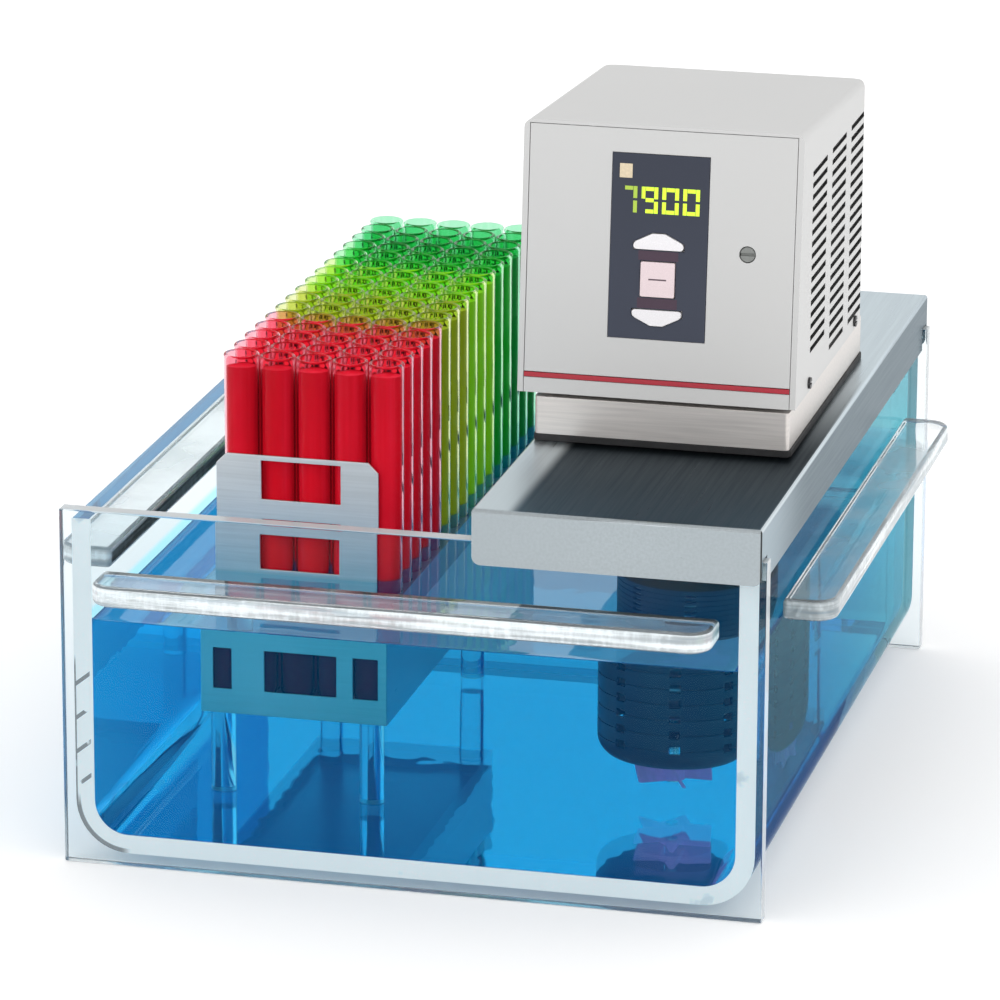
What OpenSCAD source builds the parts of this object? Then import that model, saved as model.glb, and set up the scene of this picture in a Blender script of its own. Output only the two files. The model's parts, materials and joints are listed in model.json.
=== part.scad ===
// Water bath: a clear bent-sheet tank with a stainless bridge, an immersion
// circulator head and a lift-out rack of test tubes.
// Millimetres, +Z up, origin at the centre of the footprint.

/* [Tank] */
// Width of the two end plates
plate_w = 330; // [310:5:380]
// Height of the end plates
plate_h = 171; // [166:1:185]
// Thickness of the end plates
plate_t = 8; // [5:0.5:10]
// Length of the tank over both end plates
tank_l = 417; // [410:1:460]
// How far the end plates stand out past the trough, at its sides and base
plate_margin = 4.5; // [3:0.5:7]
// How far the trough walls stop below the top of the end plates
wall_drop = 5.5; // [3:0.5:9]
// Thickness of the trough's bent sheet
wall_t = 9; // [6:0.5:11]
// Outer radius of the trough's two long bends
bend_r = 25; // [16:1:32]

/* [Grip strips] */
// Thickness of the glued grip strips
grip_t = 10; // [8:0.5:12]
// How far a grip strip stands out
grip_out = 26; // [20:1:32]
// How far the side grips stand out from the trough walls
side_grip_out = 24.5; // [18:0.5:30]
// Length of the grips on the end plates
end_grip_l = 288; // [200:2:300]
// Length of the grips on the long sides
side_grip_l = 311; // [200:1:330]
// Height of the underside of the end grips
end_grip_z = 133.5; // [110:0.5:140]
// Height of the underside of the side grips
side_grip_z = 125.5; // [110:0.5:140]
// Radius of the grips' outer corners
grip_corner_r = 11; // [4:0.5:14]
// How far the side grips sit behind the middle of the tank
side_grip_back = 6; // [-20:1:20]

/* [Bridge] */
// Width of the bridge from its free edge to the folded side
bridge_w = 132.8; // [130:0.2:150]
// Thickness of the bridge sheet
sheet_t = 1.5; // [1:0.1:2]
// Height of the bridge's top face above the end plates
bridge_rise = 15.6; // [12:0.2:20]
// Depth of the folded front, rear and side flanges
flange_h = 26.3; // [24:0.1:34]
// Depth of the short fold along the free edge
hem_h = 12; // [6:1:14]
// Clearance between the flanges and the tank
flange_gap = 0.8; // [0.4:0.1:1.2]
// Radius of the flanges' lower corners
flange_corner_r = 4; // [1:0.5:6]
// Width of the resting bars under the bridge
rest_w = 112; // [80:1:116]
// Diameter of the hole in the bridge for the immersed column
bridge_hole_d = 82; // [80:0.5:84]

/* [Head] */
// Width of the circulator head
head_w = 131.4; // [130:0.2:134]
// Height of the front of the head
head_front_h = 127; // [122:1:150]
// Height of the back of the head
head_back_h = 118.5; // [114:0.5:140]
// Depth of the head at its base
head_d = 170; // [168:1:180]
// How far the front leans back at the top
head_lean = 12; // [6:0.5:14]
// Radius of the head's top side edges
head_edge_r = 4; // [2:0.5:6]
// Radius of the head's rear upright edges
head_rear_r = 9; // [4:0.5:10]
// Thickness of the cover sheet
cover_t = 1.5; // [1:0.1:2]
// Width of the cover's edge that frames the front panel
cover_frame = 3; // [2.5:0.1:4]
// Distance from the outer face of the front end plate to the head
head_setback = 110; // [104:1:114]
// Width of the stainless plinth under the head
plinth_w = 120.4; // [118:0.2:124]
// How far the plinth stands out behind the head
plinth_behind = 12.5; // [11:0.5:20]
// Height of the plinth
plinth_h = 18; // [14:0.5:24]
// Distance from the folded side of the bridge to the plinth
plinth_side_gap = 10.9; // [8:0.1:12]
// How far the head overhangs the plinth on the side towards the folded side
head_overhang = 3; // [2:0.2:4]
// Thickness of the gasket under the plinth
gasket_t = 3.4; // [3:0.1:5]
// Height of the dark seal between plinth and head
seal_h = 2.2; // [1.5:0.1:3]
// Height of the front lip below the coloured stripe
lip_h = 7; // [6:0.5:8]
// Height of the coloured stripe
stripe_h = 2.2; // [1.5:0.1:3]
// Length of one louvre slot
louvre_l = 35; // [30:0.5:36]
// Height of one louvre slot
louvre_h = 2.6; // [2:0.1:3]
// Spacing of the louvre slots
louvre_pitch = 5.6; // [5.2:0.1:6.4]
// Number of slots in a full column
louvre_rows = 18; // [8:1:18]

/* [Control panel] */
// Width of the dark control panel
panel_w = 45.6; // [44:0.2:50]
// Height of the control panel
panel_h = 86; // [84:0.5:88]
// Height of the panel's lower edge above the head's base, along the face
panel_s = 28.5; // [26:0.5:30]
// Thickness of the control panel
panel_t = 1.2; // [0.8:0.1:1.6]
// Height of one display digit
digit_h = 12.4; // [9:0.2:13]
// Width of one display digit
digit_w = 8; // [6:0.1:8.4]
// Spacing of the display digits
digit_pitch = 9.8; // [9:0.1:10]
// Thickness of one display segment's stroke
digit_stroke = 2; // [1:0.1:2.2]
// Width of the arrow keys
arrow_w = 23.5; // [20:0.5:26]
// Height of the arrow keys at their middle
arrow_h = 7.4; // [6:0.1:8]
// Width of the set key
set_w = 16; // [14:0.2:20]
// Height of the set key
set_h = 16.2; // [14:0.2:17]
// How far the keys stand out of the panel
key_out = 0.9; // [0.8:0.1:1.6]
// Travel of the keys
key_travel = 0.6; // [0.4:0.1:0.7]
// Diameter of the safety limit adjuster
adjuster_d = 7; // [5:0.2:8]

/* [Pump and heater] */
// Distance of the pump's axis from the middle of the head, towards the folded side
pump_x = 9.5; // [6:0.5:10]
// Distance of the pump's axis behind the head's front base edge
pump_y = 48; // [46:0.5:52]
// Diameter of the pump guard
guard_d = 72; // [70:0.5:74]
// Wall of the pump guard
guard_t = 2; // [1.6:0.1:2.4]
// Height of the guard's underside above the base
guard_z = 36; // [34:0.5:44]
// Radius of the guard's lower edge
guard_r = 11; // [8:0.5:12]
// Diameter of the pump shaft
shaft_d = 6; // [5:0.2:7]
// Running clearance of the shaft in its bearings, on the radius
run_gap = 0.05; // [0.02:0.01:0.1]
// Diameter of the tube around the shaft
column_d = 14; // [13:0.2:15]
// Diameter of the impeller
impeller_d = 38; // [30:0.5:40]
// Gap between the guard and the impeller below it
impeller_gap = 2; // [1.5:0.1:4]
// Diameter of the motor
motor_d = 52; // [48:0.5:54]
// Height of the motor
motor_h = 52; // [48:1:54]
// Diameter of the cooling fan
fan_d = 50; // [40:0.5:52]
// Radius of the heater's rings
heater_r = 26; // [25:0.2:26.4]
// Diameter of the heater tube
heater_tube_d = 7; // [6:0.2:7.4]
// Level of the bath water above the base
fill_level = 116; // [112:1:124]
// Travel of the level float
float_travel = 12; // [8:0.5:16]

/* [Rack] */
// Number of tubes across the rack
tubes_across = 5; // [4:1:5]
// Diameter of the test tubes
tube_d = 16.2; // [15:0.1:16.4]
// Gap between neighbouring test tubes
tube_gap = 1.4; // [1.2:0.1:1.6]
// Wall of the test tubes
tube_wall = 1; // [0.8:0.1:1.4]
// Length of the test tubes
tube_l = 160; // [150:1:170]
// Distance from the tube rims down to the liquid
tube_headspace = 6; // [5:0.5:20]
// Distance from the trough's left wall to the rack
rack_wall_gap = 32; // [20:0.5:34]
// Distance from the front end plate to the rack
rack_setback = 91.5; // [84:0.5:94]
// Least distance from the rack to the rear end plate
rack_rear_gap = 20; // [10:1:26]
// Thickness of the rack's sheet
rack_t = 1.2; // [1:0.1:1.6]
// Height of the rack's lower edge above the tank floor
rack_lift = 40.5; // [34:0.5:48]
// Height of the rack's end plates
rack_h = 119; // [116:1:126]
// Width of the rack's end plates above the water
rack_plate_w = 79; // [72:0.5:80]
// Height of the wider foot of the end plates
rack_foot_h = 44; // [42:0.5:46]
// Diameter of the rack's clear feet
rack_foot_d = 12; // [8:0.5:14]

/* [Fits] */
// Gap left where one loose piece rests on another
rest_gap = 0.3; // [0.2:0.05:0.4]
// Gap around a piece that moves in its opening
slip_gap = 0.4; // [0.3:0.05:0.5]

/* [Hidden] */
$fn = 64;
eps = 1;

// Tank
trough_x = plate_w / 2 - plate_margin;
inner_x = trough_x - wall_t;
floor_z = plate_margin + wall_t;
wall_top = plate_h - wall_drop;
trough_l = tank_l - 2 * plate_t;
front_y = -tank_l / 2;
inner_front_y = front_y + plate_t;

// Bridge
bridge_x1 = trough_x + flange_gap + sheet_t;
bridge_x0 = bridge_x1 - bridge_w;
bridge_l = tank_l + 2 * (flange_gap + sheet_t);
bridge_top = plate_h + bridge_rise;
bridge_under = bridge_top - sheet_t;
notch_l = flange_gap + sheet_t + plate_t + 2;

// Head
plinth_setback = 1.5;
plinth_x1 = bridge_x1 - plinth_side_gap;
plinth_cx = plinth_x1 - plinth_w / 2;
head_x1 = plinth_x1 + head_overhang;
head_cx = head_x1 - head_w / 2;
head_y = front_y + head_setback;
head_back_y = head_y + head_d;
plinth_z = bridge_top + gasket_t;
plinth_y = head_y + plinth_setback;
plinth_d = head_d - plinth_setback + plinth_behind;
seal_z = plinth_z + plinth_h;
head_z = seal_z + seal_h;
lean = atan(head_lean / head_front_h);
face_l = head_front_h / cos(lean);
head_inner_w = head_w - 2 * cover_t;
fascia_w = head_w - 2 * cover_frame;
fascia_t = 2;
fascia_gap = 0.3;
stripe_s = lip_h + fascia_gap;
fascia_s = stripe_s + stripe_h + fascia_gap;
fascia_h = face_l - fascia_s - cover_t - fascia_gap;

// Control panel, measured from the middle of the head
panel_cx = -0.7;
display_s = panel_s + panel_h - 27.4;
lamp_s = display_s + digit_h + 3.6;
up_s = panel_s + 42;
set_s = panel_s + 20;
down_s = panel_s + 6.4;
adjuster_x = 40.9;
adjuster_s = panel_s + 42.3;

// Pump, motor and heater
pump_cx = head_cx + pump_x;
pump_cy = head_y + pump_y;
deck_t = gasket_t;
column_bottom = guard_z + 24;
impeller_h = 9;
impeller_z = guard_z - impeller_gap - impeller_h;
shaft_bottom = impeller_z - 1.5;
motor_flange_h = 3;
motor_flange_out = 4;
motor_z = head_z + cover_t;
motor_top = motor_z + motor_h;
fan_z = motor_top + 5;
fan_h = 10;
shaft_top = fan_z + fan_h + 2;
heater_z = column_bottom + 4;
heater_rings = 3;
heater_step = heater_tube_d + 4;
float_d = 15;
float_h = 12;
float_offset = 16;
float_stem_d = 5;
float_collar_h = 2;
float_stem_bottom = fill_level - float_travel - float_h - float_collar_h;

// Rack
tube_pitch = tube_d + tube_gap;
tubes_along = floor((trough_l - rack_setback - rack_rear_gap - 2 * rack_t) / tube_pitch);
block_w = tubes_across * tube_pitch;
block_l = tubes_along * tube_pitch;
rack_x0 = -inner_x + rack_wall_gap;
rack_y0 = inner_front_y + rack_setback;
tube_x0 = rack_x0 + rack_t + tube_pitch / 2;
tube_y0 = rack_y0 + rack_t + tube_pitch / 2;
rack_z = floor_z + rack_lift;
rack_full_w = block_w + 2 * rack_t;
rack_full_l = block_l + 2 * rack_t;
shelf_z = rack_z + 4;
tube_z = shelf_z + rack_t + rest_gap;
tube_inner_r = tube_d / 2 - tube_wall;
tier_z = rack_z + rack_foot_h - 3;

// ---------- shared shapes ----------

// Rectangle centred on the origin with round corners
module round_rect(w, h, r) {
  square([w - 2 * r, h], center = true);
  square([w, h - 2 * r], center = true);
  for (x = [-1, 1])
    for (y = [-1, 1])
      translate([x * (w / 2 - r), y * (h / 2 - r)]) circle(r);
}

// Square with two of its corners rounded: those at its upper edge
module round_top(w, h, r) {
  translate([-w / 2, 0]) square([w, h - r]);
  translate([-w / 2 + r, 0]) square([w - 2 * r, h]);
  for (x = [-1, 1]) translate([x * (w / 2 - r), h - r]) circle(r);
}

// Upright slab: an outline in X and Z, given thickness along +Y from y
module upright(y, t) {
  translate([0, y + t, 0]) rotate([90, 0, 0]) linear_extrude(t) children();
}

// Place on the leaning front face: x from the head's middle, s up the face
module on_face(x, s) {
  translate([head_cx, head_y, head_z]) rotate([90 - lean, 0, 0]) translate([x, s, 0]) children();
}

// Place on the pump's axis
module on_pump() {
  translate([pump_cx, pump_cy, 0]) children();
}

// A hollow cylinder from z0 to z1
module tube(d, bore, z0, z1) {
  translate([0, 0, z0]) difference() {
    cylinder(d = d, h = z1 - z0);
    translate([0, 0, -eps]) cylinder(d = bore, h = z1 - z0 + 2 * eps);
  }
}

// ---------- tank ----------

// Section of the trough: a U with round lower bends
module trough_section(x, z0, r) {
  translate([-x + r, z0]) square([2 * (x - r), wall_top - z0]);
  translate([-x, z0 + r]) square([2 * x, wall_top - z0 - r]);
  for (side = [-1, 1]) translate([side * (x - r), z0 + r]) circle(r);
}

module tank_trough() {
  color("lightcyan", 0.4)
  upright(inner_front_y, trough_l) difference() {
    trough_section(trough_x, plate_margin, bend_r);
    trough_section(inner_x, floor_z, bend_r - wall_t);
    translate([-inner_x, wall_top - eps]) square([2 * inner_x, 2 * eps]);
  }
}

module end_plate(y) {
  color("lightcyan", 0.4)
  translate([-plate_w / 2, y, 0]) cube([plate_w, plate_t, plate_h]);
}

module front_end_plate() {
  end_plate(front_y);
}

module rear_end_plate() {
  end_plate(-front_y - plate_t);
}

// A grip strip lying flat, its outer corners round, standing out along +Y
module grip(l, out) {
  color("white", 0.5)
  linear_extrude(grip_t) round_top(l, out, grip_corner_r);
}

module front_grip() {
  translate([0, front_y, end_grip_z]) rotate([0, 0, 180]) grip(end_grip_l, grip_out);
}

module rear_grip() {
  translate([0, -front_y, end_grip_z]) grip(end_grip_l, grip_out);
}

module left_grip() {
  translate([-trough_x, side_grip_back, side_grip_z]) rotate([0, 0, 90]) grip(side_grip_l, side_grip_out);
}

module right_grip() {
  translate([trough_x, side_grip_back, side_grip_z]) rotate([0, 0, -90]) grip(side_grip_l, side_grip_out);
}

// ---------- bridge ----------

// Outline of a front or rear flange, round at its lower corners
module end_flange() {
  cx = (bridge_x0 + bridge_x1) / 2;
  translate([cx, bridge_top]) mirror([0, 1]) round_top(bridge_w, flange_h, flange_corner_r);
}

module bridge_plate() {
  color("silver")
  difference() {
    union() {
      translate([bridge_x0, -bridge_l / 2, bridge_under]) cube([bridge_w, bridge_l, sheet_t]);
      upright(-bridge_l / 2, sheet_t) end_flange();
      upright(bridge_l / 2 - sheet_t, sheet_t) end_flange();
      translate([bridge_x1 - sheet_t, -bridge_l / 2 + notch_l, bridge_top - flange_h])
        cube([sheet_t, bridge_l - 2 * notch_l, flange_h]);
      translate([bridge_x1 - sheet_t, -bridge_l / 2, plate_h + flange_gap])
        cube([sheet_t, bridge_l, bridge_rise - flange_gap]);
      translate([bridge_x0, -bridge_l / 2, bridge_top - hem_h]) cube([sheet_t, bridge_l, hem_h]);
    }
    on_pump() translate([0, 0, bridge_under - eps]) cylinder(d = bridge_hole_d, h = sheet_t + 2 * eps);
  }
}

stud_d = 3.2;
nut_d = 6.4;
nut_h = 2.6;
stud_clear = 0.8;
nut_clear = 1;
rest_bar_h = bridge_under - plate_h - rest_gap;
rest_cx = bridge_x0 + sheet_t + 4 + rest_w / 2;
rest_stud_points = [
  for (x = [-1, 1], y = [-1, 1]) [rest_cx + x * (rest_w / 2 - 10), y * (tank_l - plate_t) / 2]
];

module bridge_rests() {
  color("dimgray")
  for (side = [-1, 1])
    difference() {
      translate([rest_cx - rest_w / 2, side * (tank_l - plate_t) / 2 - plate_t / 2, plate_h + rest_gap])
        cube([rest_w, plate_t, rest_bar_h]);
      for (p = rest_stud_points) translate([p[0], p[1], plate_h]) {
        cylinder(d = stud_d + 0.4, h = bridge_rise);
        cylinder(d = nut_d + 0.6, h = nut_h + nut_clear);
      }
    }
}

// Welded studs under the bridge sheet, each with its nut sunk in a resting bar
module bridge_fixings() {
  color("silver")
  for (p = rest_stud_points) translate([p[0], p[1], 0]) {
    translate([0, 0, plate_h + stud_clear]) cylinder(d = stud_d, h = bridge_under - plate_h - stud_clear);
    translate([0, 0, plate_h + nut_clear]) difference() {
      cylinder(d = nut_d, h = nut_h, $fn = 6);
      translate([0, 0, -eps]) cylinder(d = stud_d, h = nut_h + 2 * eps);
    }
  }
}

// ---------- head: plinth and shell ----------

plinth_cy = plinth_y + plinth_d / 2;
gasket_in = 8;

module plinth_gasket() {
  color("black")
  translate([plinth_cx, plinth_cy, bridge_top]) linear_extrude(gasket_t) difference() {
    round_rect(plinth_w + 1.5, plinth_d, 3);
    round_rect(plinth_w - 2 * gasket_in, plinth_d - 2 * gasket_in, 3);
  }
}

module mounting_plinth() {
  color("tan")
  difference() {
    translate([plinth_cx, plinth_cy, plinth_z]) linear_extrude(plinth_h) round_rect(plinth_w, plinth_d, 2);
    translate([plinth_cx, plinth_cy, plinth_z - eps]) linear_extrude(plinth_h - cover_t + eps)
      round_rect(plinth_w - 2 * cover_t, plinth_d - 2 * cover_t, 1);
    on_pump() translate([0, 0, seal_z - cover_t - eps]) cylinder(d = column_d + 8, h = cover_t + 2 * eps);
  }
}

seal_in = 14.5;
seal_d = head_d - seal_in - 0.5;

module neck_seal() {
  color("black")
  difference() {
    translate([plinth_cx, head_y + seal_in + seal_d / 2, seal_z]) linear_extrude(seal_h)
      round_rect(plinth_w - 8, seal_d, 3);
    on_pump() translate([0, 0, seal_z - eps]) cylinder(d = column_d + 8, h = seal_h + 2 * eps);
  }
}

slope = atan((head_front_h - head_back_h) / (head_d - head_lean));

// Depth of the leaning front at height z, and height of the sloping top at depth y
function front_at(z) = head_y + (z - head_z) * tan(lean);
function top_at(y) = head_z + head_front_h - (y - head_y - head_lean) * tan(slope);

// Side outline of the head in Y and Z, drawn in by m, from height z0 up
module head_side(m, z0) {
  y_top = front_at(head_z + head_front_h) + m / cos(lean);
  y_back = head_back_y - m;
  polygon([
    [front_at(z0) + m / cos(lean), z0],
    [y_top, top_at(y_top) - m / cos(slope)],
    [y_back, top_at(y_back) - m / cos(slope)],
    [y_back, z0]
  ]);
}

// The head's form drawn in by m: leaning front, round top side edges and rear corners
module head_form(m, z0) {
  w = head_w - 2 * m;
  tall = 2 * head_front_h;
  intersection() {
    translate([head_cx - w / 2, 0, 0]) rotate([90, 0, 90]) linear_extrude(w) head_side(m, z0);
    translate([head_cx, head_y, z0 - eps]) linear_extrude(tall) round_top(w, head_d - m, head_rear_r - m);
    translate([head_cx, head_back_y, head_z + head_back_h - m / cos(slope)]) rotate([90 - slope, 0, 0])
      translate([0, -tall, -tall]) linear_extrude(2 * tall) round_top(w, tall, head_edge_r - m);
  }
}

louvre_y0 = head_y + 34;
louvre_z0 = head_z + 7;

module louvre_slots() {
  for (side = [-1, 1], col = [0:2], row = [(col == 0 ? 2 : 0):louvre_rows - 1])
    translate([
      head_cx + side * head_w / 2 - 2 * cover_t,
      louvre_y0 + col * (louvre_l + 12.5),
      louvre_z0 + row * louvre_pitch
    ]) cube([4 * cover_t, louvre_l, louvre_h]);
}

cover_screw_d = 3;
cover_screw_y = [head_y + 32, head_back_y - 24];
cover_screw_z = head_z + 4.5;

rear_w = head_w - 2 * head_rear_r - 2;
rear_h = head_back_h - 12;

module head_cover() {
  color("gainsboro")
  difference() {
    head_form(0, head_z);
    head_form(cover_t, head_z - eps);
    // front opening that frames the fascia
    on_face(0, 0) translate([-fascia_w / 2 - fascia_gap, -5, -10])
      cube([fascia_w + 2 * fascia_gap, face_l + 5 - cover_t, 20]);
    // opening for the rear panel
    translate([head_cx - rear_w / 2, head_back_y - 2 * cover_t, head_z - eps])
      cube([rear_w, 4 * cover_t, rear_h + eps]);
    louvre_slots();
    cover_screw_holes();
  }
}

module cover_screw_holes() {
  for (y = cover_screw_y) translate([head_cx - head_w, y, cover_screw_z]) rotate([0, 90, 0])
    cylinder(d = cover_screw_d, h = 2 * head_w);
}

pan_w = head_inner_w - 2 * fascia_gap;
pan_lip_h = 9;

module base_pan() {
  color("gainsboro")
  difference() {
    union() {
      translate([head_cx, head_y + cover_t + 0.4, head_z]) linear_extrude(cover_t)
        round_top(pan_w, head_d - 2 * cover_t - 0.8, head_rear_r - cover_t);
      for (side = [-1, 1])
        translate([head_cx + side * (pan_w - cover_t) / 2 - cover_t / 2, head_y + 8, head_z])
          cube([cover_t, head_d - 8 - head_rear_r, pan_lip_h]);
      translate([head_cx - fascia_w / 2, 0, 0]) rotate([90, 0, 90]) linear_extrude(fascia_w)
        polygon([
          [front_at(head_z), head_z],
          [front_at(head_z + lip_h), head_z + lip_h],
          [head_y + cover_t + 0.8, head_z + lip_h],
          [head_y + cover_t + 0.8, head_z]
        ]);
    }
    on_pump() translate([0, 0, head_z - eps]) cylinder(d = column_d + 8, h = cover_t + 2 * eps);
    cover_screw_holes();
  }
}

module stripe_inlay() {
  color("crimson")
  on_face(-fascia_w / 2, stripe_s) translate([0, 0, -fascia_t]) cube([fascia_w, stripe_h, fascia_t + 0.3]);
}

// ---------- control panel ----------

pocket_t = panel_t - 0.2;
face_front = panel_t - pocket_t;

// Arrow key outline, its flat edge on the origin, pointing up
module arrow(w, h) {
  polygon([[-w / 2, 0], [w / 2, 0], [w / 2, 0.42 * h], [w / 8, h], [-w / 8, h], [-w / 2, 0.42 * h]]);
}

module arrow_up(grow) {
  translate([0, up_s - grow]) arrow(arrow_w + 2 * grow, arrow_h + 2 * grow);
}

module arrow_down(grow) {
  translate([0, down_s + arrow_h + grow]) mirror([0, 1]) arrow(arrow_w + 2 * grow, arrow_h + 2 * grow);
}

module set_square(grow) {
  translate([-set_w / 2 - grow, set_s - grow]) square([set_w + 2 * grow, set_h + 2 * grow]);
}

module key_holes() {
  on_face(panel_cx, 0) translate([0, 0, -10]) linear_extrude(20) {
    arrow_up(slip_gap);
    arrow_down(slip_gap);
    set_square(slip_gap);
  }
}

module fascia() {
  color("gainsboro")
  difference() {
    on_face(-fascia_w / 2, fascia_s) translate([0, 0, -fascia_t]) cube([fascia_w, fascia_h, fascia_t]);
    on_face(panel_cx - panel_w / 2 - 0.2, panel_s - 0.2) translate([0, 0, -pocket_t])
      cube([panel_w + 0.4, panel_h + 0.4, pocket_t + eps]);
    key_holes();
    on_face(adjuster_x, adjuster_s) translate([0, 0, -fascia_t - eps])
      cylinder(d = adjuster_d + 2 * slip_gap, h = fascia_t + 2 * eps);
  }
}

module control_panel() {
  color("darkslategray")
  difference() {
    on_face(panel_cx - panel_w / 2, panel_s) translate([0, 0, -pocket_t]) cube([panel_w, panel_h, panel_t]);
    key_holes();
  }
}

stroke_gap = 0.1;

// The seven strokes of a digit, lit where the pattern holds a 1:
// top, upper right, lower right, bottom, lower left, upper left, middle
module digit(pattern) {
  k = digit_stroke;
  half = digit_h / 2;
  bars = [
    [k, digit_h - k, digit_w - 2 * k, k],
    [digit_w - k, half + k / 4, k, half - k / 4],
    [digit_w - k, 0, k, half - k / 4],
    [k, 0, digit_w - 2 * k, k],
    [0, 0, k, half - k / 4],
    [0, half + k / 4, k, half - k / 4],
    [k, half - k / 2, digit_w - 2 * k, k]
  ];
  for (i = [0:6]) if (pattern[i] == 1)
    translate([bars[i][0] + stroke_gap, bars[i][1] + stroke_gap])
      square([bars[i][2] - 2 * stroke_gap, bars[i][3] - 2 * stroke_gap]);
}

seven = [1, 1, 1, 0, 0, 0, 0];
nine = [1, 1, 1, 1, 0, 1, 1];
zero = [1, 1, 1, 1, 1, 1, 0];
readout = [seven, nine, zero, zero];

module display_segments() {
  color("greenyellow")
  for (i = [0:3])
    on_face(panel_cx - 1.5 * digit_pitch - digit_w / 2 + i * digit_pitch, display_s)
      translate([0, 0, face_front]) linear_extrude(0.15) digit(readout[i]);
}

module status_lamp() {
  color("wheat")
  on_face(panel_cx - panel_w / 2 + 3.5, lamp_s) translate([0, 0, face_front]) cube([6, 6.6, 0.3]);
}

key_stop_out = 1.4;
key_stop_t = 1;
key_stop_back = key_stop_t + key_travel + 0.2;

// A key's cap from its stop behind the fascia to the front; children give cap and stop
module key_cap() {
  on_face(panel_cx, 0) translate([0, 0, -fascia_t - key_stop_back]) {
    linear_extrude(fascia_t + key_stop_back + face_front + key_out) children(0);
    linear_extrude(key_stop_t) children(1);
  }
}

module up_key() {
  color("white") key_cap() {
    arrow_up(0);
    arrow_up(key_stop_out);
  }
}

module set_key() {
  color("mistyrose") key_cap() {
    set_square(0);
    set_square(key_stop_out);
  }
}

module down_key() {
  color("white") key_cap() {
    arrow_down(0);
    arrow_down(key_stop_out);
  }
}

pot_w = 14;
pot_depth = 9;
adjuster_shaft_d = 4;

module adjuster_pot() {
  color("darkblue")
  on_face(adjuster_x, adjuster_s) difference() {
    translate([-pot_w / 2, -pot_w / 2, -fascia_t - pot_depth]) cube([pot_w, pot_w, pot_depth]);
    translate([0, 0, -fascia_t - 1.5]) cylinder(d = adjuster_d + 2 * slip_gap, h = 1.5 + eps);
    translate([0, 0, -fascia_t - pot_depth - eps])
      cylinder(d = adjuster_shaft_d + 2 * run_gap, h = pot_depth + 2 * eps);
  }
}

module limit_adjuster() {
  color("gray")
  on_face(adjuster_x, adjuster_s) difference() {
    union() {
      translate([0, 0, -fascia_t - 1.2]) cylinder(d = adjuster_d, h = fascia_t + 0.8);
      translate([0, 0, -fascia_t - pot_depth + 1]) cylinder(d = adjuster_shaft_d, h = pot_depth);
    }
    translate([-adjuster_d / 2 - eps, -0.6, -1.6]) cube([adjuster_d + 2 * eps, 1.2, 1.6 + eps]);
  }
}

// ---------- rear panel ----------

inlet_x = -26;
inlet_w = 27.4;
inlet_h = 19.8;
inlet_depth = 20;
socket_w = 24;
socket_h = 16.4;
socket_depth = 15;
rocker_x = 20;
rocker_w = 19;
rocker_h = 13;
rocker_frame = 2;
rocker_depth = 14;
rocker_tilt = 8;
rear_item_z = head_z + 72;
vent_w = 8;
vent_h = 2.5;
vent_pitch = 12;
vent_rise = 16;

module rear_panel() {
  color("gainsboro")
  difference() {
    translate([head_cx - rear_w / 2 + fascia_gap, head_back_y - cover_t, head_z + cover_t])
      cube([rear_w - 2 * fascia_gap, cover_t, rear_h - cover_t - fascia_gap]);
    translate([head_cx + inlet_x - inlet_w / 2, head_back_y - 2 * cover_t, rear_item_z - inlet_h / 2])
      cube([inlet_w, 4 * cover_t, inlet_h]);
    translate([head_cx + rocker_x - rocker_w / 2 - rocker_frame, head_back_y - 2 * cover_t,
      rear_item_z - rocker_h / 2 - rocker_frame]) cube([rocker_w + 2 * rocker_frame, 4 * cover_t,
      rocker_h + 2 * rocker_frame]);
    for (x = [-2.5:2.5])
      translate([head_cx + x * vent_pitch - vent_w / 2, head_back_y - 2 * cover_t, head_z + vent_rise])
        cube([vent_w, 4 * cover_t, vent_h]);
  }
}

// Slab centred on x in the rear panel, reaching from y0 to y1 behind or before its outer face
module rear_block(x, w, h, y0, y1) {
  translate([head_cx + x - w / 2, head_back_y + y0, rear_item_z - h / 2]) cube([w, y1 - y0, h]);
}

module mains_inlet() {
  color("black")
  difference() {
    union() {
      rear_block(inlet_x, inlet_w, inlet_h, -inlet_depth, 0);
      rear_block(inlet_x, inlet_w + 7, inlet_h + 3, 0, 2);
    }
    rear_block(inlet_x, socket_w, socket_h, 2 - socket_depth, 2 + eps);
  }
}

module inlet_pins() {
  color("silver")
  for (p = [[-7, -1.5], [0, 2.5], [7, -1.5]])
    translate([head_cx + inlet_x + p[0] - 1, head_back_y + 2 - socket_depth, rear_item_z + p[1] - 2])
      cube([2, socket_depth - 4, 4]);
}

module switch_frame() {
  color("black")
  difference() {
    union() {
      rear_block(rocker_x, rocker_w + 2 * rocker_frame, rocker_h + 2 * rocker_frame, -rocker_depth, 0);
      rear_block(rocker_x, rocker_w + 3 * rocker_frame, rocker_h + 3 * rocker_frame, 0, 1.5);
    }
    rear_block(rocker_x, rocker_w, rocker_h, -rocker_depth + 2, 2);
    translate([head_cx + rocker_x - rocker_w / 2 - 1.5, head_back_y - 4, rear_item_z]) rotate([0, 90, 0])
      cylinder(d = 3 + 2 * run_gap, h = rocker_w + 3);
  }
}

// Rocker on two short pins, its upper end pressed in: its face is a shallow V
module mains_switch() {
  color("darkred")
  translate([head_cx + rocker_x, head_back_y - 4, rear_item_z]) rotate([-rocker_tilt, 0, 0]) {
    w = rocker_w - 2 * slip_gap;
    h = rocker_h - 2 * slip_gap;
    translate([-w / 2, 0, 0]) rotate([90, 0, 90]) linear_extrude(w)
      polygon([[-4, -2.5], [-4, 2.5], [3.5, h / 2 - 0.6], [5.6, h / 2 - 1], [4.4, 0], [5.6, 1 - h / 2],
        [3.5, 0.6 - h / 2]]);
    translate([-w / 2 - 1.4, 0, 0]) rotate([0, 90, 0]) cylinder(d = 3, h = w + 2.8);
  }
}

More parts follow.
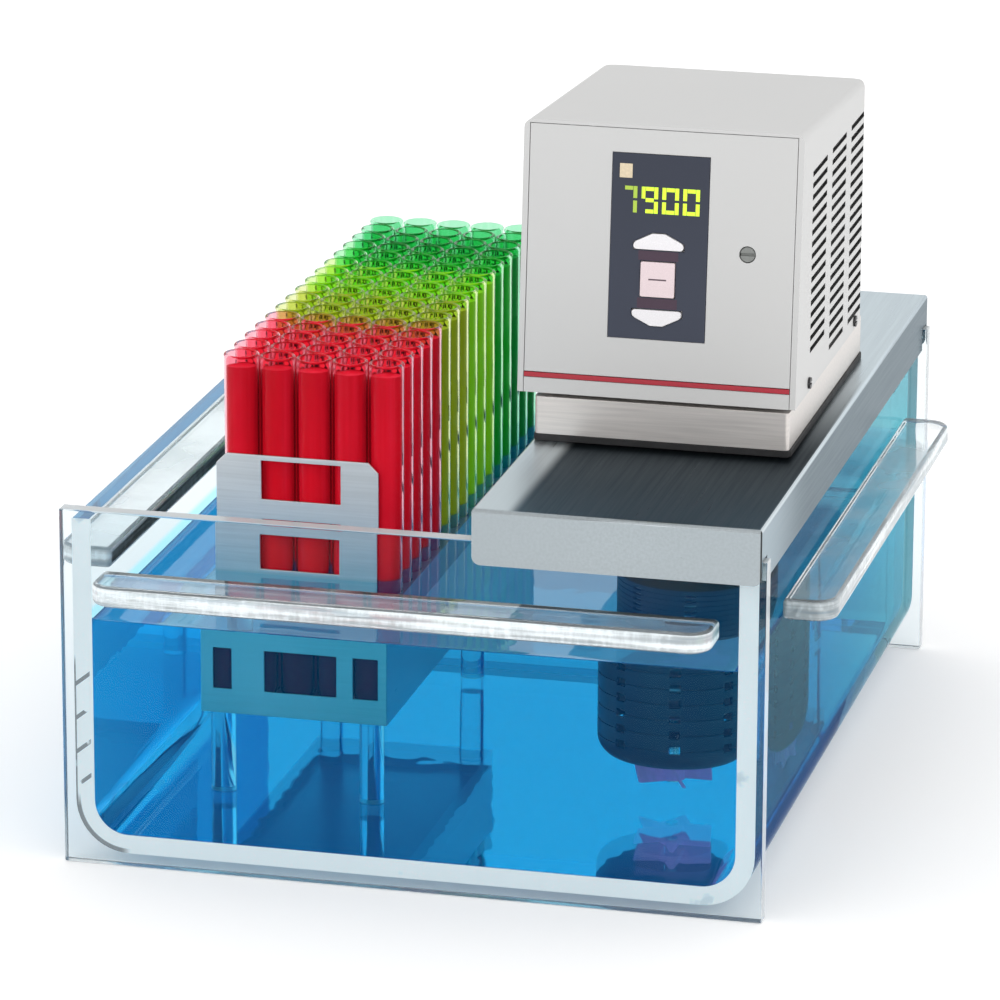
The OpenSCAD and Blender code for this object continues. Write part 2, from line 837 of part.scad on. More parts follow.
module cover_screws() {
  color("black")
  for (side = [-1, 1], y = cover_screw_y)
    translate([head_cx + side * head_w / 2, y, cover_screw_z]) rotate([0, side * 90, 0]) difference() {
      union() {
        cylinder(d = 5.4, h = 1.2);
        translate([0, 0, -2 * cover_t - 2]) cylinder(d = cover_screw_d - 0.2, h = 2 * cover_t + 2.5);
      }
      translate([-0.5, -3, 0.6]) cube([1, 6, 1]);
    }
}

// ---------- inside the head ----------

board_t = 1.6;
board_gap = 4.2;
board_w = 80;
board_h = 96;
board_x = -52;
board_s = 18;
power_x = 4;
power_y = 92;
power_w = 54;
power_d = 60;
power_gap = 8;
pan_top = head_z + cover_t;
post_d = 5;
post_in = 5;
display_block = [46, 18, 2];
relay_block = [24, 30, 9];
choke_block = [16, 20, 18];
terminal_block = [18, 14, 15];
capacitor_d = 16;
capacitor_h = 25;

module control_board() {
  color("darkgreen")
  on_face(board_x, board_s) translate([0, 0, -fascia_t - board_gap - board_t]) {
    cube([board_w, board_h, board_t]);
    translate([panel_cx - board_x - display_block[0] / 2, display_s - board_s - 3, board_t])
      cube(display_block);
    translate([20, 20, -relay_block[2]]) cube(relay_block);
  }
}

module power_board() {
  color("darkgreen")
  translate([head_cx + power_x, head_y + power_y, pan_top + power_gap]) {
    cube([power_w, power_d, board_t]);
    translate([6, 8, board_t]) cube(choke_block);
    translate([36, 16, board_t]) cylinder(d = capacitor_d, h = capacitor_h);
    translate([30, 38, board_t]) cube(terminal_block);
  }
}

module board_posts() {
  color("silver")
  for (x = [post_in, board_w - post_in], s = [post_in, board_h - post_in])
    on_face(board_x + x, board_s + s) translate([0, 0, -fascia_t - board_gap])
      cylinder(d = post_d, h = board_gap);
  color("silver")
  for (x = [post_in, power_w - post_in], y = [post_in - 1, power_d - post_in])
    translate([head_cx + power_x + x, head_y + power_y + y, pan_top]) cylinder(d = post_d, h = power_gap);
}

transformer_x = -36;
transformer_in = 44;
transformer_w = 42;
transformer_d = 36;
transformer_h = 38;
transformer_foot_t = 3;
winding_out = 4.5;
winding_in = 6;

// Block centred on the origin in X and Y, standing at height z
module standing_block(block, z) {
  translate([-block[0] / 2, -block[1] / 2, z]) cube(block);
}

module transformer() {
  color("dimgray")
  translate([head_cx + transformer_x, head_back_y - transformer_in, pan_top]) {
    standing_block([transformer_w + 6, transformer_d + 4, transformer_foot_t], 0);
    translate([0, 0, transformer_foot_t]) {
      standing_block([transformer_w, transformer_d, transformer_h], 0);
      standing_block(
        [transformer_w - 2 * winding_in, transformer_d + 2 * winding_out, transformer_h - 2 * winding_in],
        winding_in
      );
    }
  }
}

bearing_h = 6;

module motor_body() {
  color("slategray")
  on_pump() difference() {
    union() {
      translate([0, 0, motor_z]) cylinder(d = motor_d + 2 * motor_flange_out, h = motor_flange_h);
      translate([0, 0, motor_z]) cylinder(d = motor_d, h = motor_h);
    }
    translate([0, 0, motor_z + bearing_h]) cylinder(d = motor_d - 8, h = motor_h - 2 * bearing_h);
    translate([0, 0, motor_z - eps]) cylinder(d = shaft_d + 2 * run_gap, h = motor_h + 2 * eps);
  }
}

module motor_rotor() {
  color("goldenrod")
  on_pump() tube(motor_d - 12, shaft_d, motor_z + bearing_h + 1, motor_top - bearing_h - 1);
}

fan_hub_d = 18;
fan_blade_t = 1.6;

module cooling_fan() {
  color("black")
  on_pump() translate([0, 0, fan_z]) difference() {
    union() {
      cylinder(d = fan_hub_d, h = fan_h);
      for (a = [0:45:315]) rotate([0, 0, a]) translate([0, -fan_blade_t / 2, 1]) rotate([24, 0, 0])
        cube([fan_d / 2, fan_blade_t, fan_h - 3]);
    }
    translate([0, 0, -eps]) cylinder(d = shaft_d, h = fan_h + 2 * eps);
  }
}

module pump_shaft() {
  color("silver")
  on_pump() translate([0, 0, shaft_bottom]) cylinder(d = shaft_d, h = shaft_top - shaft_bottom);
}

// ---------- immersed column ----------

module pump_deck() {
  color("silver")
  difference() {
    translate([plinth_cx, plinth_cy, bridge_top]) linear_extrude(deck_t)
      round_rect(plinth_w - 2 * gasket_in - 1, plinth_d - 2 * gasket_in - 1, 2.5);
    on_pump() translate([0, 0, bridge_top - eps]) cylinder(d = column_d, h = deck_t + 2 * eps);
    for (p = [heater_leg(-1), heater_leg(1)])
      on_pump() translate([p[0], p[1], bridge_top - eps]) cylinder(d = heater_leg_d, h = deck_t + 2 * eps);
    on_pump() translate([probe_offset, probe_offset, bridge_top - eps])
      cylinder(d = probe_d, h = deck_t + 2 * eps);
    on_pump() translate([-float_offset, float_offset, bridge_top - eps])
      cylinder(d = float_stem_d, h = deck_t + 2 * eps);
  }
}

probe_d = 5;
probe_offset = 11;
probe_tip = column_bottom + probe_d / 2 - 2;
// Height to which the rods and legs reach inside the plinth
lead_top = plinth_z + 3;
leg_angle = 20;
heater_leg_d = heater_tube_d - 1.4;

function heater_leg(side) = heater_r * [cos(-90 + side * leg_angle), sin(-90 + side * leg_angle)];

module shaft_column() {
  color("silver")
  on_pump() {
    tube(column_d, column_d - 3, column_bottom + 6, plinth_z + 2);
    tube(column_d, shaft_d + 2 * run_gap, column_bottom, column_bottom + 6);
  }
}

blade_t = 1.6;
blade_pitch = 32;
blades = 5;
hub_d = 12;

// Propeller just below the guard, its blades cut to a round sweep
module impeller() {
  color("orchid")
  on_pump() translate([0, 0, impeller_z]) difference() {
    union() {
      cylinder(d = hub_d, h = impeller_h);
      intersection() {
        cylinder(d = impeller_d, h = impeller_h);
        for (i = [0:blades - 1]) rotate([0, 0, i * 360 / blades]) impeller_blade();
      }
    }
    translate([0, 0, -eps]) cylinder(d = shaft_d, h = impeller_h + 2 * eps);
  }
}

module impeller_blade() {
  translate([shaft_d / 2 + 1, 0, impeller_h / 2]) rotate([blade_pitch, 0, 0])
    translate([0, -blade_t / 2, -impeller_h]) cube([impeller_d, blade_t, 2 * impeller_h]);
}

guard_top = bridge_top;
guard_hole_w = 5.4;
guard_hole_h = 4;
guard_hole_turn = 10;
guard_groove = 0.7;
guard_pitch = 7.6;
guard_rows = 9;
intake_d = impeller_d;

// Half section of the guard's outer form drawn in by m
module guard_half(m) {
  r = guard_d / 2 - m;
  translate([0, guard_z + m]) square([r - (guard_r - m), guard_top - guard_z]);
  translate([0, guard_z + guard_r]) square([r, guard_top - guard_z]);
  translate([r - (guard_r - m), guard_z + guard_r]) circle(guard_r - m);
}

module pump_guard() {
  color("darkslategray")
  on_pump() difference() {
    rotate_extrude() intersection() {
      difference() {
        guard_half(0);
        guard_half(guard_t);
      }
      translate([0, guard_z]) square([guard_d, guard_top - guard_z]);
    }
    translate([0, 0, guard_z - eps]) cylinder(d = intake_d, h = guard_t + 2 * eps);
    for (i = [0:guard_rows - 1]) translate([0, 0, guard_z + guard_r + i * guard_pitch]) {
      tube(guard_d + 2, guard_d - 2 * guard_groove, 0, 1);
      for (a = [guard_hole_turn:45:guard_hole_turn + 315]) rotate([0, 0, a]) guard_hole();
    }
  }
}

module guard_hole() {
  translate([guard_d / 2 - 2 * guard_t, -guard_hole_w / 2, -1.5])
    cube([3 * guard_t, guard_hole_w, guard_hole_h]);
}

module heater_coil() {
  color("silver")
  on_pump() {
    for (i = [0:heater_rings - 1]) translate([0, 0, heater_z + i * heater_step])
      rotate_extrude($fn = 40) translate([heater_r, 0]) circle(d = heater_tube_d, $fn = 20);
    for (side = [-1, 1]) translate([heater_leg(side)[0], heater_leg(side)[1], heater_z])
      cylinder(d = heater_leg_d, h = lead_top - heater_z);
  }
}

module temperature_probe() {
  color("silver")
  on_pump() translate([probe_offset, probe_offset, probe_tip]) {
    cylinder(d = probe_d, h = lead_top - probe_tip);
    sphere(d = probe_d);
  }
}

module float_stem() {
  color("white")
  on_pump() translate([-float_offset, float_offset, float_stem_bottom]) {
    cylinder(d = float_stem_d, h = lead_top - float_stem_bottom);
    cylinder(d = float_stem_d + 4, h = float_collar_h);
  }
}

module level_float() {
  color("white")
  on_pump() translate([-float_offset, float_offset, 0])
    tube(float_d, float_stem_d + 2 * slip_gap, float_stem_bottom + float_collar_h + rest_gap,
      float_stem_bottom + float_collar_h + rest_gap + float_h);
}

// ---------- rack ----------

window_x = 22;
window_w = 38.6;
upper_sill = 97.5;
upper_rim = 2.6;
slit_sill = 86.4;
slit_h = 1.4;
lower_sill = 64;
lower_window_h = 17;
foot_sill = 12;
foot_window_h = 20;
foot_rim = 4.4;
foot_bar = 8;
foot_post = 16;
foot_left_w = 9;
foot_right_w = 12;
foot_left_x = 6;
foot_mid_x = foot_left_x + foot_left_w + foot_post;
foot_right_x = rack_full_w - foot_rim - foot_right_w;
// Windows in the end plates: left edge, lower edge, width and height from the plate's lower left corner
rack_windows = [
  [window_x, upper_sill, window_w, rack_h - upper_sill - upper_rim],
  [window_x, slit_sill, window_w, slit_h],
  [window_x, lower_sill, window_w, lower_window_h],
  [foot_left_x, foot_sill, foot_left_w, foot_window_h],
  [foot_mid_x, foot_sill, foot_right_x - foot_bar - foot_mid_x, foot_window_h],
  [foot_right_x, foot_sill, foot_right_w, foot_window_h]
];
rack_chamfer = 5;

module rack_outline() {
  difference() {
    translate([rack_x0, rack_z]) {
      square([rack_full_w, rack_foot_h]);
      polygon([
        [0, 0],
        [rack_plate_w, 0],
        [rack_plate_w, rack_h - rack_chamfer],
        [rack_plate_w - rack_chamfer, rack_h],
        [rack_chamfer, rack_h],
        [0, rack_h - rack_chamfer]
      ]);
    }
    for (w = rack_windows) translate([rack_x0 + w[0], rack_z + w[1]]) square([w[2], w[3]]);
  }
}

module rack_front_plate() {
  color("silver") upright(rack_y0, rack_t) rack_outline();
}

module rack_rear_plate() {
  color("silver") upright(rack_y0 + rack_t + block_l, rack_t) rack_outline();
}

// Places of all the tubes, or of those in rows first to last
module at_tubes(first, last) {
  for (i = [0:tubes_across - 1], j = [first:last])
    translate([tube_x0 + i * tube_pitch, tube_y0 + j * tube_pitch, 0]) children();
}

module rack_tier() {
  color("silver")
  difference() {
    translate([rack_x0, rack_y0 + rack_t, tier_z]) cube([rack_full_w, block_l, rack_t]);
    at_tubes(0, tubes_along - 1) translate([0, 0, tier_z - eps])
      cylinder(d = tube_d + 2 * slip_gap, h = rack_t + 2 * eps);
  }
}

module rack_shelf() {
  color("silver")
  translate([rack_x0 + rack_t, rack_y0 + rack_t, shelf_z]) cube([block_w, block_l, rack_t]);
}

// Plain side walls from the rack's lower edge up to the tier that lies on them
module rack_sides() {
  color("silver")
  for (x = [rack_x0, rack_x0 + rack_t + block_w])
    translate([x, rack_y0 + rack_t, rack_z]) cube([rack_t, block_l, tier_z - rack_z]);
}

foot_in = 9;

module rack_feet() {
  color("lightcyan", 0.4)
  for (x = [rack_x0 + foot_in, rack_x0 + rack_full_w - foot_in])
    for (y = [rack_y0 + foot_in, rack_y0 + rack_full_l - foot_in])
      translate([x, y, floor_z + rest_gap]) cylinder(d = rack_foot_d, h = shelf_z - floor_z - rest_gap);
}

module test_tubes() {
  color("azure", 0.4)
  at_tubes(0, tubes_along - 1) translate([0, 0, tube_z + tube_d / 2]) difference() {
    union() {
      sphere(d = tube_d);
      cylinder(d = tube_d, h = tube_l - tube_d / 2);
    }
    sphere(r = tube_inner_r);
    cylinder(r = tube_inner_r, h = tube_l);
  }
}

sample_gap = 0.05;
dark_first = tubes_along - 3;
green_first = dark_first - 2;
lime_first = green_first - 3;
amber_first = lime_first - 3;

// What the tubes in rows first to last hold
module samples(first, last) {
  at_tubes(first, last) translate([0, 0, tube_z + tube_d / 2]) {
    sphere(r = tube_inner_r - sample_gap);
    cylinder(r = tube_inner_r - sample_gap, h = tube_l - tube_d / 2 - tube_headspace);
  }
}

module red_samples() {
  color("crimson") samples(0, amber_first - 1);
}

module amber_samples() {
  color("olivedrab") samples(amber_first, lime_first - 1);
}

module lime_samples() {
  color("yellowgreen") samples(lime_first, green_first - 1);
}

module green_samples() {
  color("limegreen") samples(green_first, dark_first - 1);
}

module dark_samples() {
  color("green") samples(dark_first, tubes_along - 1);
}

tank_trough();
front_end_plate();
rear_end_plate();
front_grip();
rear_grip();
left_grip();
right_grip();
bridge_plate();
bridge_rests();
bridge_fixings();
plinth_gasket();
mounting_plinth();
neck_seal();
base_pan();
stripe_inlay();
fascia();
head_cover();
rear_panel();
cover_screws();
control_panel();
display_segments();
status_lamp();
up_key();
set_key();
down_key();
adjuster_pot();
limit_adjuster();
mains_inlet();
inlet_pins();
switch_frame();
mains_switch();
control_board();
power_board();
board_posts();
transformer();
motor_body();
motor_rotor();
cooling_fan();
pump_deck();
shaft_column();
pump_shaft();
impeller();
pump_guard();
heater_coil();
temperature_probe();
float_stem();
level_float();
rack_front_plate();
rack_rear_plate();
rack_tier();
rack_shelf();
rack_sides();
rack_feet();
test_tubes();
red_samples();
amber_samples();
lime_samples();
green_samples();
dark_samples();
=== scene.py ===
"""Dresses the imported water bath: clear tank and water, steel bridge, head and tube rack."""

import json
import math

import bmesh
import bpy
from bpy.props import FloatProperty, FloatVectorProperty, PointerProperty
from bpy.types import Operator, Panel, PropertyGroup
from mathutils import Matrix, Vector

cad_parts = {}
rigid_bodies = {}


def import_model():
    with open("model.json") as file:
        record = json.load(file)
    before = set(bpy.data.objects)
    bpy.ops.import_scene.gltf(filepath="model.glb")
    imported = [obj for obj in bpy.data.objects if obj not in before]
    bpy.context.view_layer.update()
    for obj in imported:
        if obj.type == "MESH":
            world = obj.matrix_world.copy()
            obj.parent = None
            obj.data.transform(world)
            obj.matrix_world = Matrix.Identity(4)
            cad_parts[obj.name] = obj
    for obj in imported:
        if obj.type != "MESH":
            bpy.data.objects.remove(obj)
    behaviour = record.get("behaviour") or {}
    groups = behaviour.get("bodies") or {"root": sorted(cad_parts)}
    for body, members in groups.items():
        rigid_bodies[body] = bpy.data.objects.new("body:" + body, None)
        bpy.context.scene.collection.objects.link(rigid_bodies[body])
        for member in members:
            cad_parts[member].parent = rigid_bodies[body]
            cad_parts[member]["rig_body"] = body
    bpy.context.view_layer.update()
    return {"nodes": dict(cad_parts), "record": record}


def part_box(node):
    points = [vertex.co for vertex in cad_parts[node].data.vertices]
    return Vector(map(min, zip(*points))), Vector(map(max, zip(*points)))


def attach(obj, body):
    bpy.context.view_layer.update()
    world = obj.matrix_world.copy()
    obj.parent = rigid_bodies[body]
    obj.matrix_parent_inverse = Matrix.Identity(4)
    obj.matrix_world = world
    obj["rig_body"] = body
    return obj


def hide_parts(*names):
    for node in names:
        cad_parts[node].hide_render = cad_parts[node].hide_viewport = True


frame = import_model()
SLOTS = {part["node"]: part["material_slot"] for part in frame["record"]["subparts"]}

bl_info = {
    "name": "Water Bath Dressing",
    "version": (1, 0, 0),
    "blender": (4, 5, 0),
    "location": "3D View > Sidebar > Water Bath",
    "description": "Finishes the pieces of a clear water bath with its circulator and tube rack",
    "category": "Object",
}

MM = 0.001
WELD = 0.002 * MM
TOUCH = 0.01 * MM

ACRYLIC_IOR = 1.49
WALL_IOR = 1.03
WATER_IOR = 1.33
TUBE_IOR = 1.2
SAMPLE_IOR = 1.34
WATER_DENSITY = 11.5
SAMPLE_NODES = ("red_samples", "amber_samples", "lime_samples", "green_samples", "dark_samples")
TUBE_COLUMNS = 5

CAMERA_LENS = 214.25
CAMERA_PLACE = (0.6524, -2.6837, 0.9619)
CAMERA_RIGHT = (0.9707, 0.2403, 0.0037)
CAMERA_BACK = (0.229, -0.9294, 0.2895)


def size(name, description, default):
    """A length in metres that a user may change."""
    return FloatProperty(
        name=name, description=description, default=default, unit="LENGTH", precision=5
    )


def colour(name, description, default):
    """A linear colour that a user may change."""
    return FloatVectorProperty(
        name=name, description=description, default=default, subtype="COLOR", size=3
    )


class BathSizes(PropertyGroup):
    """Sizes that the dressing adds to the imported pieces"""

    sheet_edge: size("Sheet edge", "Radius of the polished edges of the clear sheet", 0.7 * MM)
    grip_edge: size("Grip edge", "Radius of the grip strips' long edges", 2.4 * MM)
    fold_radius: size("Fold radius", "Outer radius of the bridge's folds", 1.7 * MM)
    cut_edge: size("Cut edge", "Radius of the broken edges of cut sheet metal", 0.25 * MM)
    cover_edge: size("Cover edge", "Radius of the painted cover's edges", 0.45 * MM)
    key_edge: size("Key edge", "Radius of the moulded keys' edges", 0.35 * MM)
    wall: size("Wall", "Thickness of the trough's bent sheet", 9 * MM)
    bend: size("Bend", "Inner radius of the trough's long bends", 16 * MM)
    water_level: size("Water level", "Height of the bath water", 115.8 * MM)
    meniscus: size("Meniscus", "Rise of the water at the walls", 1.6 * MM)
    water_wet: size("Water wet", "How far the water's skin reaches into the wetted walls", 0.1 * MM)
    cement: size("Cement", "Thickness of the cement between trough and end plates", 0.08 * MM)
    tube_pitch: size("Tube pitch", "Spacing of the test tubes", 17.6 * MM)
    tube_wall: size("Tube wall", "Wall of the test tubes", 1.0 * MM)
    tube_bead: size("Tube bead", "Radius of the bead around each tube's mouth", 0.95 * MM)
    headspace: size("Headspace", "Distance from the tube rims down to the liquid", 6 * MM)
    panel: size("Panel", "Thickness of the control panel", 1.2 * MM)
    key_end: size("Key end", "Radius of the arrow keys' ends", 1.7 * MM)
    film_edge: size("Film edge", "Radius of the thin inlays' and the panel's edges", 0.12 * MM)
    seam: size("Seam", "Width of the open seam at the bridge's folded corners", 0.45 * MM)
    print_height: size("Print height", "Thickness of printed marks", 0.04 * MM)


class BathColours(PropertyGroup):
    """Colours of the finishes, as linear values"""

    acrylic: colour("Acrylic", "Tint of the clear sheet", (0.87, 0.93, 0.95))
    # painted colours: the side walls' tints stand in for the bath seen through the clear walls
    far_wall_painted_tint: colour("Left wall", "Tint of the far side wall under water", (0.30, 0.80, 0.92))
    near_wall_painted_tint: colour("Right wall", "Tint of the near side wall", (0.11, 0.52, 0.60))
    water: colour("Water", "What the water lets through over a short way", (0.10, 0.79, 0.915))
    steel: colour("Steel", "Brushed stainless sheet", (0.42, 0.46, 0.48))
    rack_steel: colour("Rack steel", "Bright rolled sheet of the rack", (0.64, 0.65, 0.67))
    shade: colour("Shade", "Bridge top in the head's shade, as a share", (0.085, 0.16, 0.21))
    plinth: colour("Plinth", "Warm plated steel of the plinth", (0.70, 0.66, 0.63))
    paint: colour("Paint", "Light warm grey of the head", (0.58, 0.58, 0.575))
    slate: colour("Slate", "Dark control panel", (0.040, 0.047, 0.070))
    red: colour("Red", "Stripe on the head", (0.42, 0.012, 0.03))
    key: colour("Key", "Arrow keys", (0.86, 0.84, 0.86))
    pale_key: colour("Pale key", "Set key", (0.80, 0.66, 0.68))
    display: colour("Display", "Lit strokes of the digits", (0.55, 0.85, 0.02))
    guard: colour("Guard", "Pump guard", (0.03, 0.045, 0.06))
    impeller: colour("Impeller", "Pump impeller", (0.80, 0.34, 0.62))


# ---------- node trees ----------


class Wire:
    """A socket of a node tree. Arithmetic on it adds Math, Vector Math or Mix nodes."""

    def __init__(self, shader, socket):
        self.shader = shader
        self.socket = socket

    def combine(self, operation, first, second):
        if self.socket.type == "RGBA":
            return self.shader.mix(1.0, first, second, operation)
        kind = "ShaderNodeVectorMath" if self.socket.type == "VECTOR" else "ShaderNodeMath"
        return self.shader.node(kind, {"operation": operation}, {0: first, 1: second})

    def __add__(self, other):
        return self.combine("ADD", self, other)

    __radd__ = __add__

    def __mul__(self, other):
        return self.combine("MULTIPLY", self, other)

    __rmul__ = __mul__

    def __sub__(self, other):
        return self.combine("SUBTRACT", self, other)

    def __rsub__(self, other):
        return self.combine("SUBTRACT", other, self)

    def math(self, operation):
        """A Math node that takes this value alone."""
        return self.shader.node("ShaderNodeMath", {"operation": operation}, {0: self})

    def part(self, axis):
        """One coordinate of a vector: X, Y or Z."""
        return self.shader.node("ShaderNodeSeparateXYZ", {}, {0: self}, axis)


class Shader:
    """The node tree of a material or of the world."""

    def __init__(self, owner, output):
        owner.use_nodes = True
        self.owner = owner
        self.tree = owner.node_tree
        self.tree.nodes.clear()
        self.output = self.tree.nodes.new(output)

    def node(self, kind, settings=None, inputs=None, output=0):
        """A node with its settings made first, then its inputs as values or links."""
        made = self.tree.nodes.new(kind)
        for name, value in (settings or {}).items():
            if name == "stops":
                self.set_stops(made.color_ramp, value)
            else:
                setattr(made, name, value)
        for name, value in (inputs or {}).items():
            self.feed(made.inputs[name], value)
        return Wire(self, made.outputs[output])

    def feed(self, socket, value):
        """Links a wire to a socket, or sets the socket's own value."""
        if isinstance(value, Wire):
            self.tree.links.new(value.socket, socket)
        elif socket.type == "RGBA" and len(value) == 3:
            socket.default_value = (*value, 1.0)
        else:
            socket.default_value = value

    def set_stops(self, ramp, stops):
        while len(ramp.elements) < len(stops):
            ramp.elements.new(1.0)
        for element, (position, shade) in zip(ramp.elements, stops):
            element.position = position
            element.color = (*shade, 1.0)

    def mix(self, factor, first, second, blend="MIX"):
        """Two colours mixed."""
        settings = {"data_type": "RGBA", "blend_type": blend}
        return self.node("ShaderNodeMix", settings, {0: factor, 6: first, 7: second}, 2)

    def place(self):
        """The point on the piece, in metres in the whole part's frame at rest."""
        return self.node("ShaderNodeTexCoord", {}, {}, "Object")

    def axes(self):
        """The point's X, Y and Z."""
        place = self.place()
        return [place.part(axis) for axis in "XYZ"]

    def facing(self):
        """The way that the face itself looks."""
        return self.node("ShaderNodeNewGeometry", {}, {}, "True Normal")

    def noise(self, scale, stretch=(1, 1, 1), detail=2.0, roughness=0.5):
        """Soft noise from 0 to 1, drawn out along the axes where stretch is small."""
        return self.node(
            "ShaderNodeTexNoise", {},
            {"Vector": self.place() * stretch, "Scale": scale, "Detail": detail,
             "Roughness": roughness},
        )

    def span(self, value, low, high, to_low=0.0, to_high=1.0):
        """A value's range carried over to another, and held at its ends."""
        return self.node(
            "ShaderNodeMapRange", {"interpolation_type": "SMOOTHSTEP"},
            {"Value": value, "From Min": low, "From Max": high, "To Min": to_low,
             "To Max": to_high},
        )

    def bump(self, height, distance, strength):
        inputs = {"Height": height, "Distance": distance, "Strength": strength}
        return self.node("ShaderNodeBump", {}, inputs, "Normal")

    def principled(self, **sockets):
        """A Principled shader; underscores stand for the spaces in its sockets' names."""
        inputs = {name.replace("_", " "): value for name, value in sockets.items()}
        return self.node("ShaderNodeBsdfPrincipled", {}, inputs, "BSDF")

    def put(self, wire, way="Surface"):
        """Leads a shader to the output and gives back whose tree it is."""
        self.feed(self.output.inputs[way], wire)
        return self.owner

    def surface(self, **sockets):
        """A Principled shader as the whole surface."""
        return self.put(self.principled(**sockets))

    def under(self, level):
        """One below a level, nothing above it."""
        return self.span(self.place().part("Z"), level + 2 * MM, level - 2 * MM)

    def blend_surfaces(self, factor, first, second):
        """Two shaders laid over each other as the surface."""
        return self.put(self.node("ShaderNodeMixShader", {}, {0: factor, 1: first, 2: second}))


def finish(name):
    """The empty node tree of a new material."""
    return Shader(bpy.data.materials.new(f"{name}_finish"), "ShaderNodeOutputMaterial")


def grey(value):
    return (value, value, value)


def see_through(base, roughness, gloss, ior):
    """The sockets of a finish that lets light through."""
    return {
        "Base_Color": base, "Roughness": roughness, "Transmission_Weight": 1.0,
        "Specular_Tint": grey(gloss), "IOR": ior,
    }


def tinted(base, amount):
    """A colour made lighter or darker as a whole."""
    return tuple(part * amount for part in base)


# ---------- finishes ----------


def clear_sheet(name, base):
    """Cast acrylic: clear, with hairlines and smears, and its upward and outer cut faces painted
    pale as a highlight.
    """
    shader = finish(name)
    facing = shader.facing()
    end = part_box("front_end_plate")[1].x
    across = shader.place().part("X").math("ABSOLUTE")
    outside = shader.span(across, end - 1.2 * MM, end - 0.6 * MM)
    sideways = shader.span(facing.part("X").math("ABSOLUTE"), 0.6, 0.8)
    cut = shader.span(facing.part("Z"), 0.6, 0.8) + outside * sideways
    smears = shader.span(shader.noise(14, (1, 1, 2.5), 3), 0.5, 0.8)
    hairlines = shader.span(shader.noise(900, (1, 0.04, 0.04), 1), 0.68, 0.74)
    shade = shader.mix(smears * 0.25, base, tinted(base, 0.97))
    clear = shader.principled(
        **see_through(shade, smears * 0.004 + hairlines * 0.02, 0.1, ACRYLIC_IOR)
    )
    # painted highlight: an opaque pale finish on the cut faces stands in for the light that the
    # polished clear edges catch
    edge = shader.principled(Base_Color=(0.80, 0.86, 0.89), Roughness=0.25)
    return shader.blend_surfaces(cut * 0.6, clear, edge)


def trough_sheet(name, base, left, right, level):
    """The bent sheet: clear at its rims and bends, with side walls painted blue-green for the bath
    seen through them, and a painted glow in the far wall under water.
    """
    shader = finish(name)
    wall = shader.span(shader.facing().part("X").math("ABSOLUTE"), 0.85, 0.98)
    place = shader.place()
    height = place.part("Z")
    smears = shader.span(shader.noise(14, (1, 1, 2.5), 3), 0.5, 0.8)
    wetted = shader.under(level)
    # painted colour: the side walls are tinted blue-green for the bath seen through them, the near
    # wall's tint fading above the water
    near = shader.span(place.part("X"), -20 * MM, 20 * MM)
    fade = shader.span(height, level - 20 * MM, level + 50 * MM)
    near_painted_tint = shader.mix(fade, right, (0.17, 0.47, 0.55))
    far_painted_tint = shader.mix(wetted, base, left)
    tint = shader.mix(near, far_painted_tint, near_painted_tint)
    faint = shader.mix(smears * 0.3, tint, tint * grey(0.96))
    gloss = smears * 0.004
    clear = shader.principled(**see_through(base, gloss, 0.1, ACRYLIC_IOR))
    side = shader.principled(
        **see_through(faint, gloss, 0.3, WALL_IOR),
        # painted glow: under the water the far wall gives off a faint blue light of its own
        Emission_Color=shader.mix((1 - near) * wetted, grey(0.0), (0.004, 0.075, 0.14)),
        Emission_Strength=1.0,
    )
    return shader.blend_surfaces(wall, clear, side)


def grip_sheet(name, base):
    """The grip strips' acrylic: streaky through its flat faces, milky on its sawn edges, with a
    faint painted glow in the milky part.
    """
    shader = finish(name)
    sawn = shader.span(shader.facing().part("Z").math("ABSOLUTE"), 0.8, 0.4)
    streaks = shader.noise(60, (0.2, 0.2, 5), 3)
    chatter = shader.noise(420, (1, 1, 0.3), 3)
    clear = shader.principled(
        **see_through(base, shader.span(streaks, 0.45, 0.8, 0.0, 0.08), 0.5, ACRYLIC_IOR),
        Normal=shader.bump(streaks, 0.0008, 0.4),
    )
    streaked = shader.span(streaks, 0.5, 0.75)
    milky = shader.principled(
        Base_Color=shader.mix(streaked, (0.88, 0.95, 0.98), (0.42, 0.56, 0.65)),
        Roughness=0.3,
        # painted glow: the milky part gives off a faint light of its own
        Emission_Color=(0.8, 0.92, 1.0),
        Emission_Strength=0.02,
        Normal=shader.bump(chatter, 0.0003, 0.4),
    )
    edge_cover = shader.span(streaks + chatter * 0.3, 0.45, 0.75, 0.9, 0.4)
    flat_cover = shader.span(streaks, 0.45, 0.65, 0.05, 0.35)
    return shader.blend_surfaces(sawn * edge_cover + (1 - sawn) * flat_cover, clear, milky)


def bath_water(name, base, density):
    """Clear water, coloured by the light's way through it, with a faint painted blue glow on its
    skin for the light scattered in it.
    """
    shader = finish(name)
    shader.surface(
        **see_through(grey(1.0), 0.0, 0.06, WATER_IOR),
        # painted glow: a faint blue light given off wherever rays cross the water's skin
        Emission_Color=(0.0, 0.30, 1.0),
        Emission_Strength=0.055,
        Normal=shader.bump(shader.noise(22, (1, 1, 0.2), 2), 0.0008, 0.25),
    )
    volume = shader.node("ShaderNodeVolumeAbsorption", {}, {"Color": base, "Density": density})
    return shader.put(volume, "Volume")


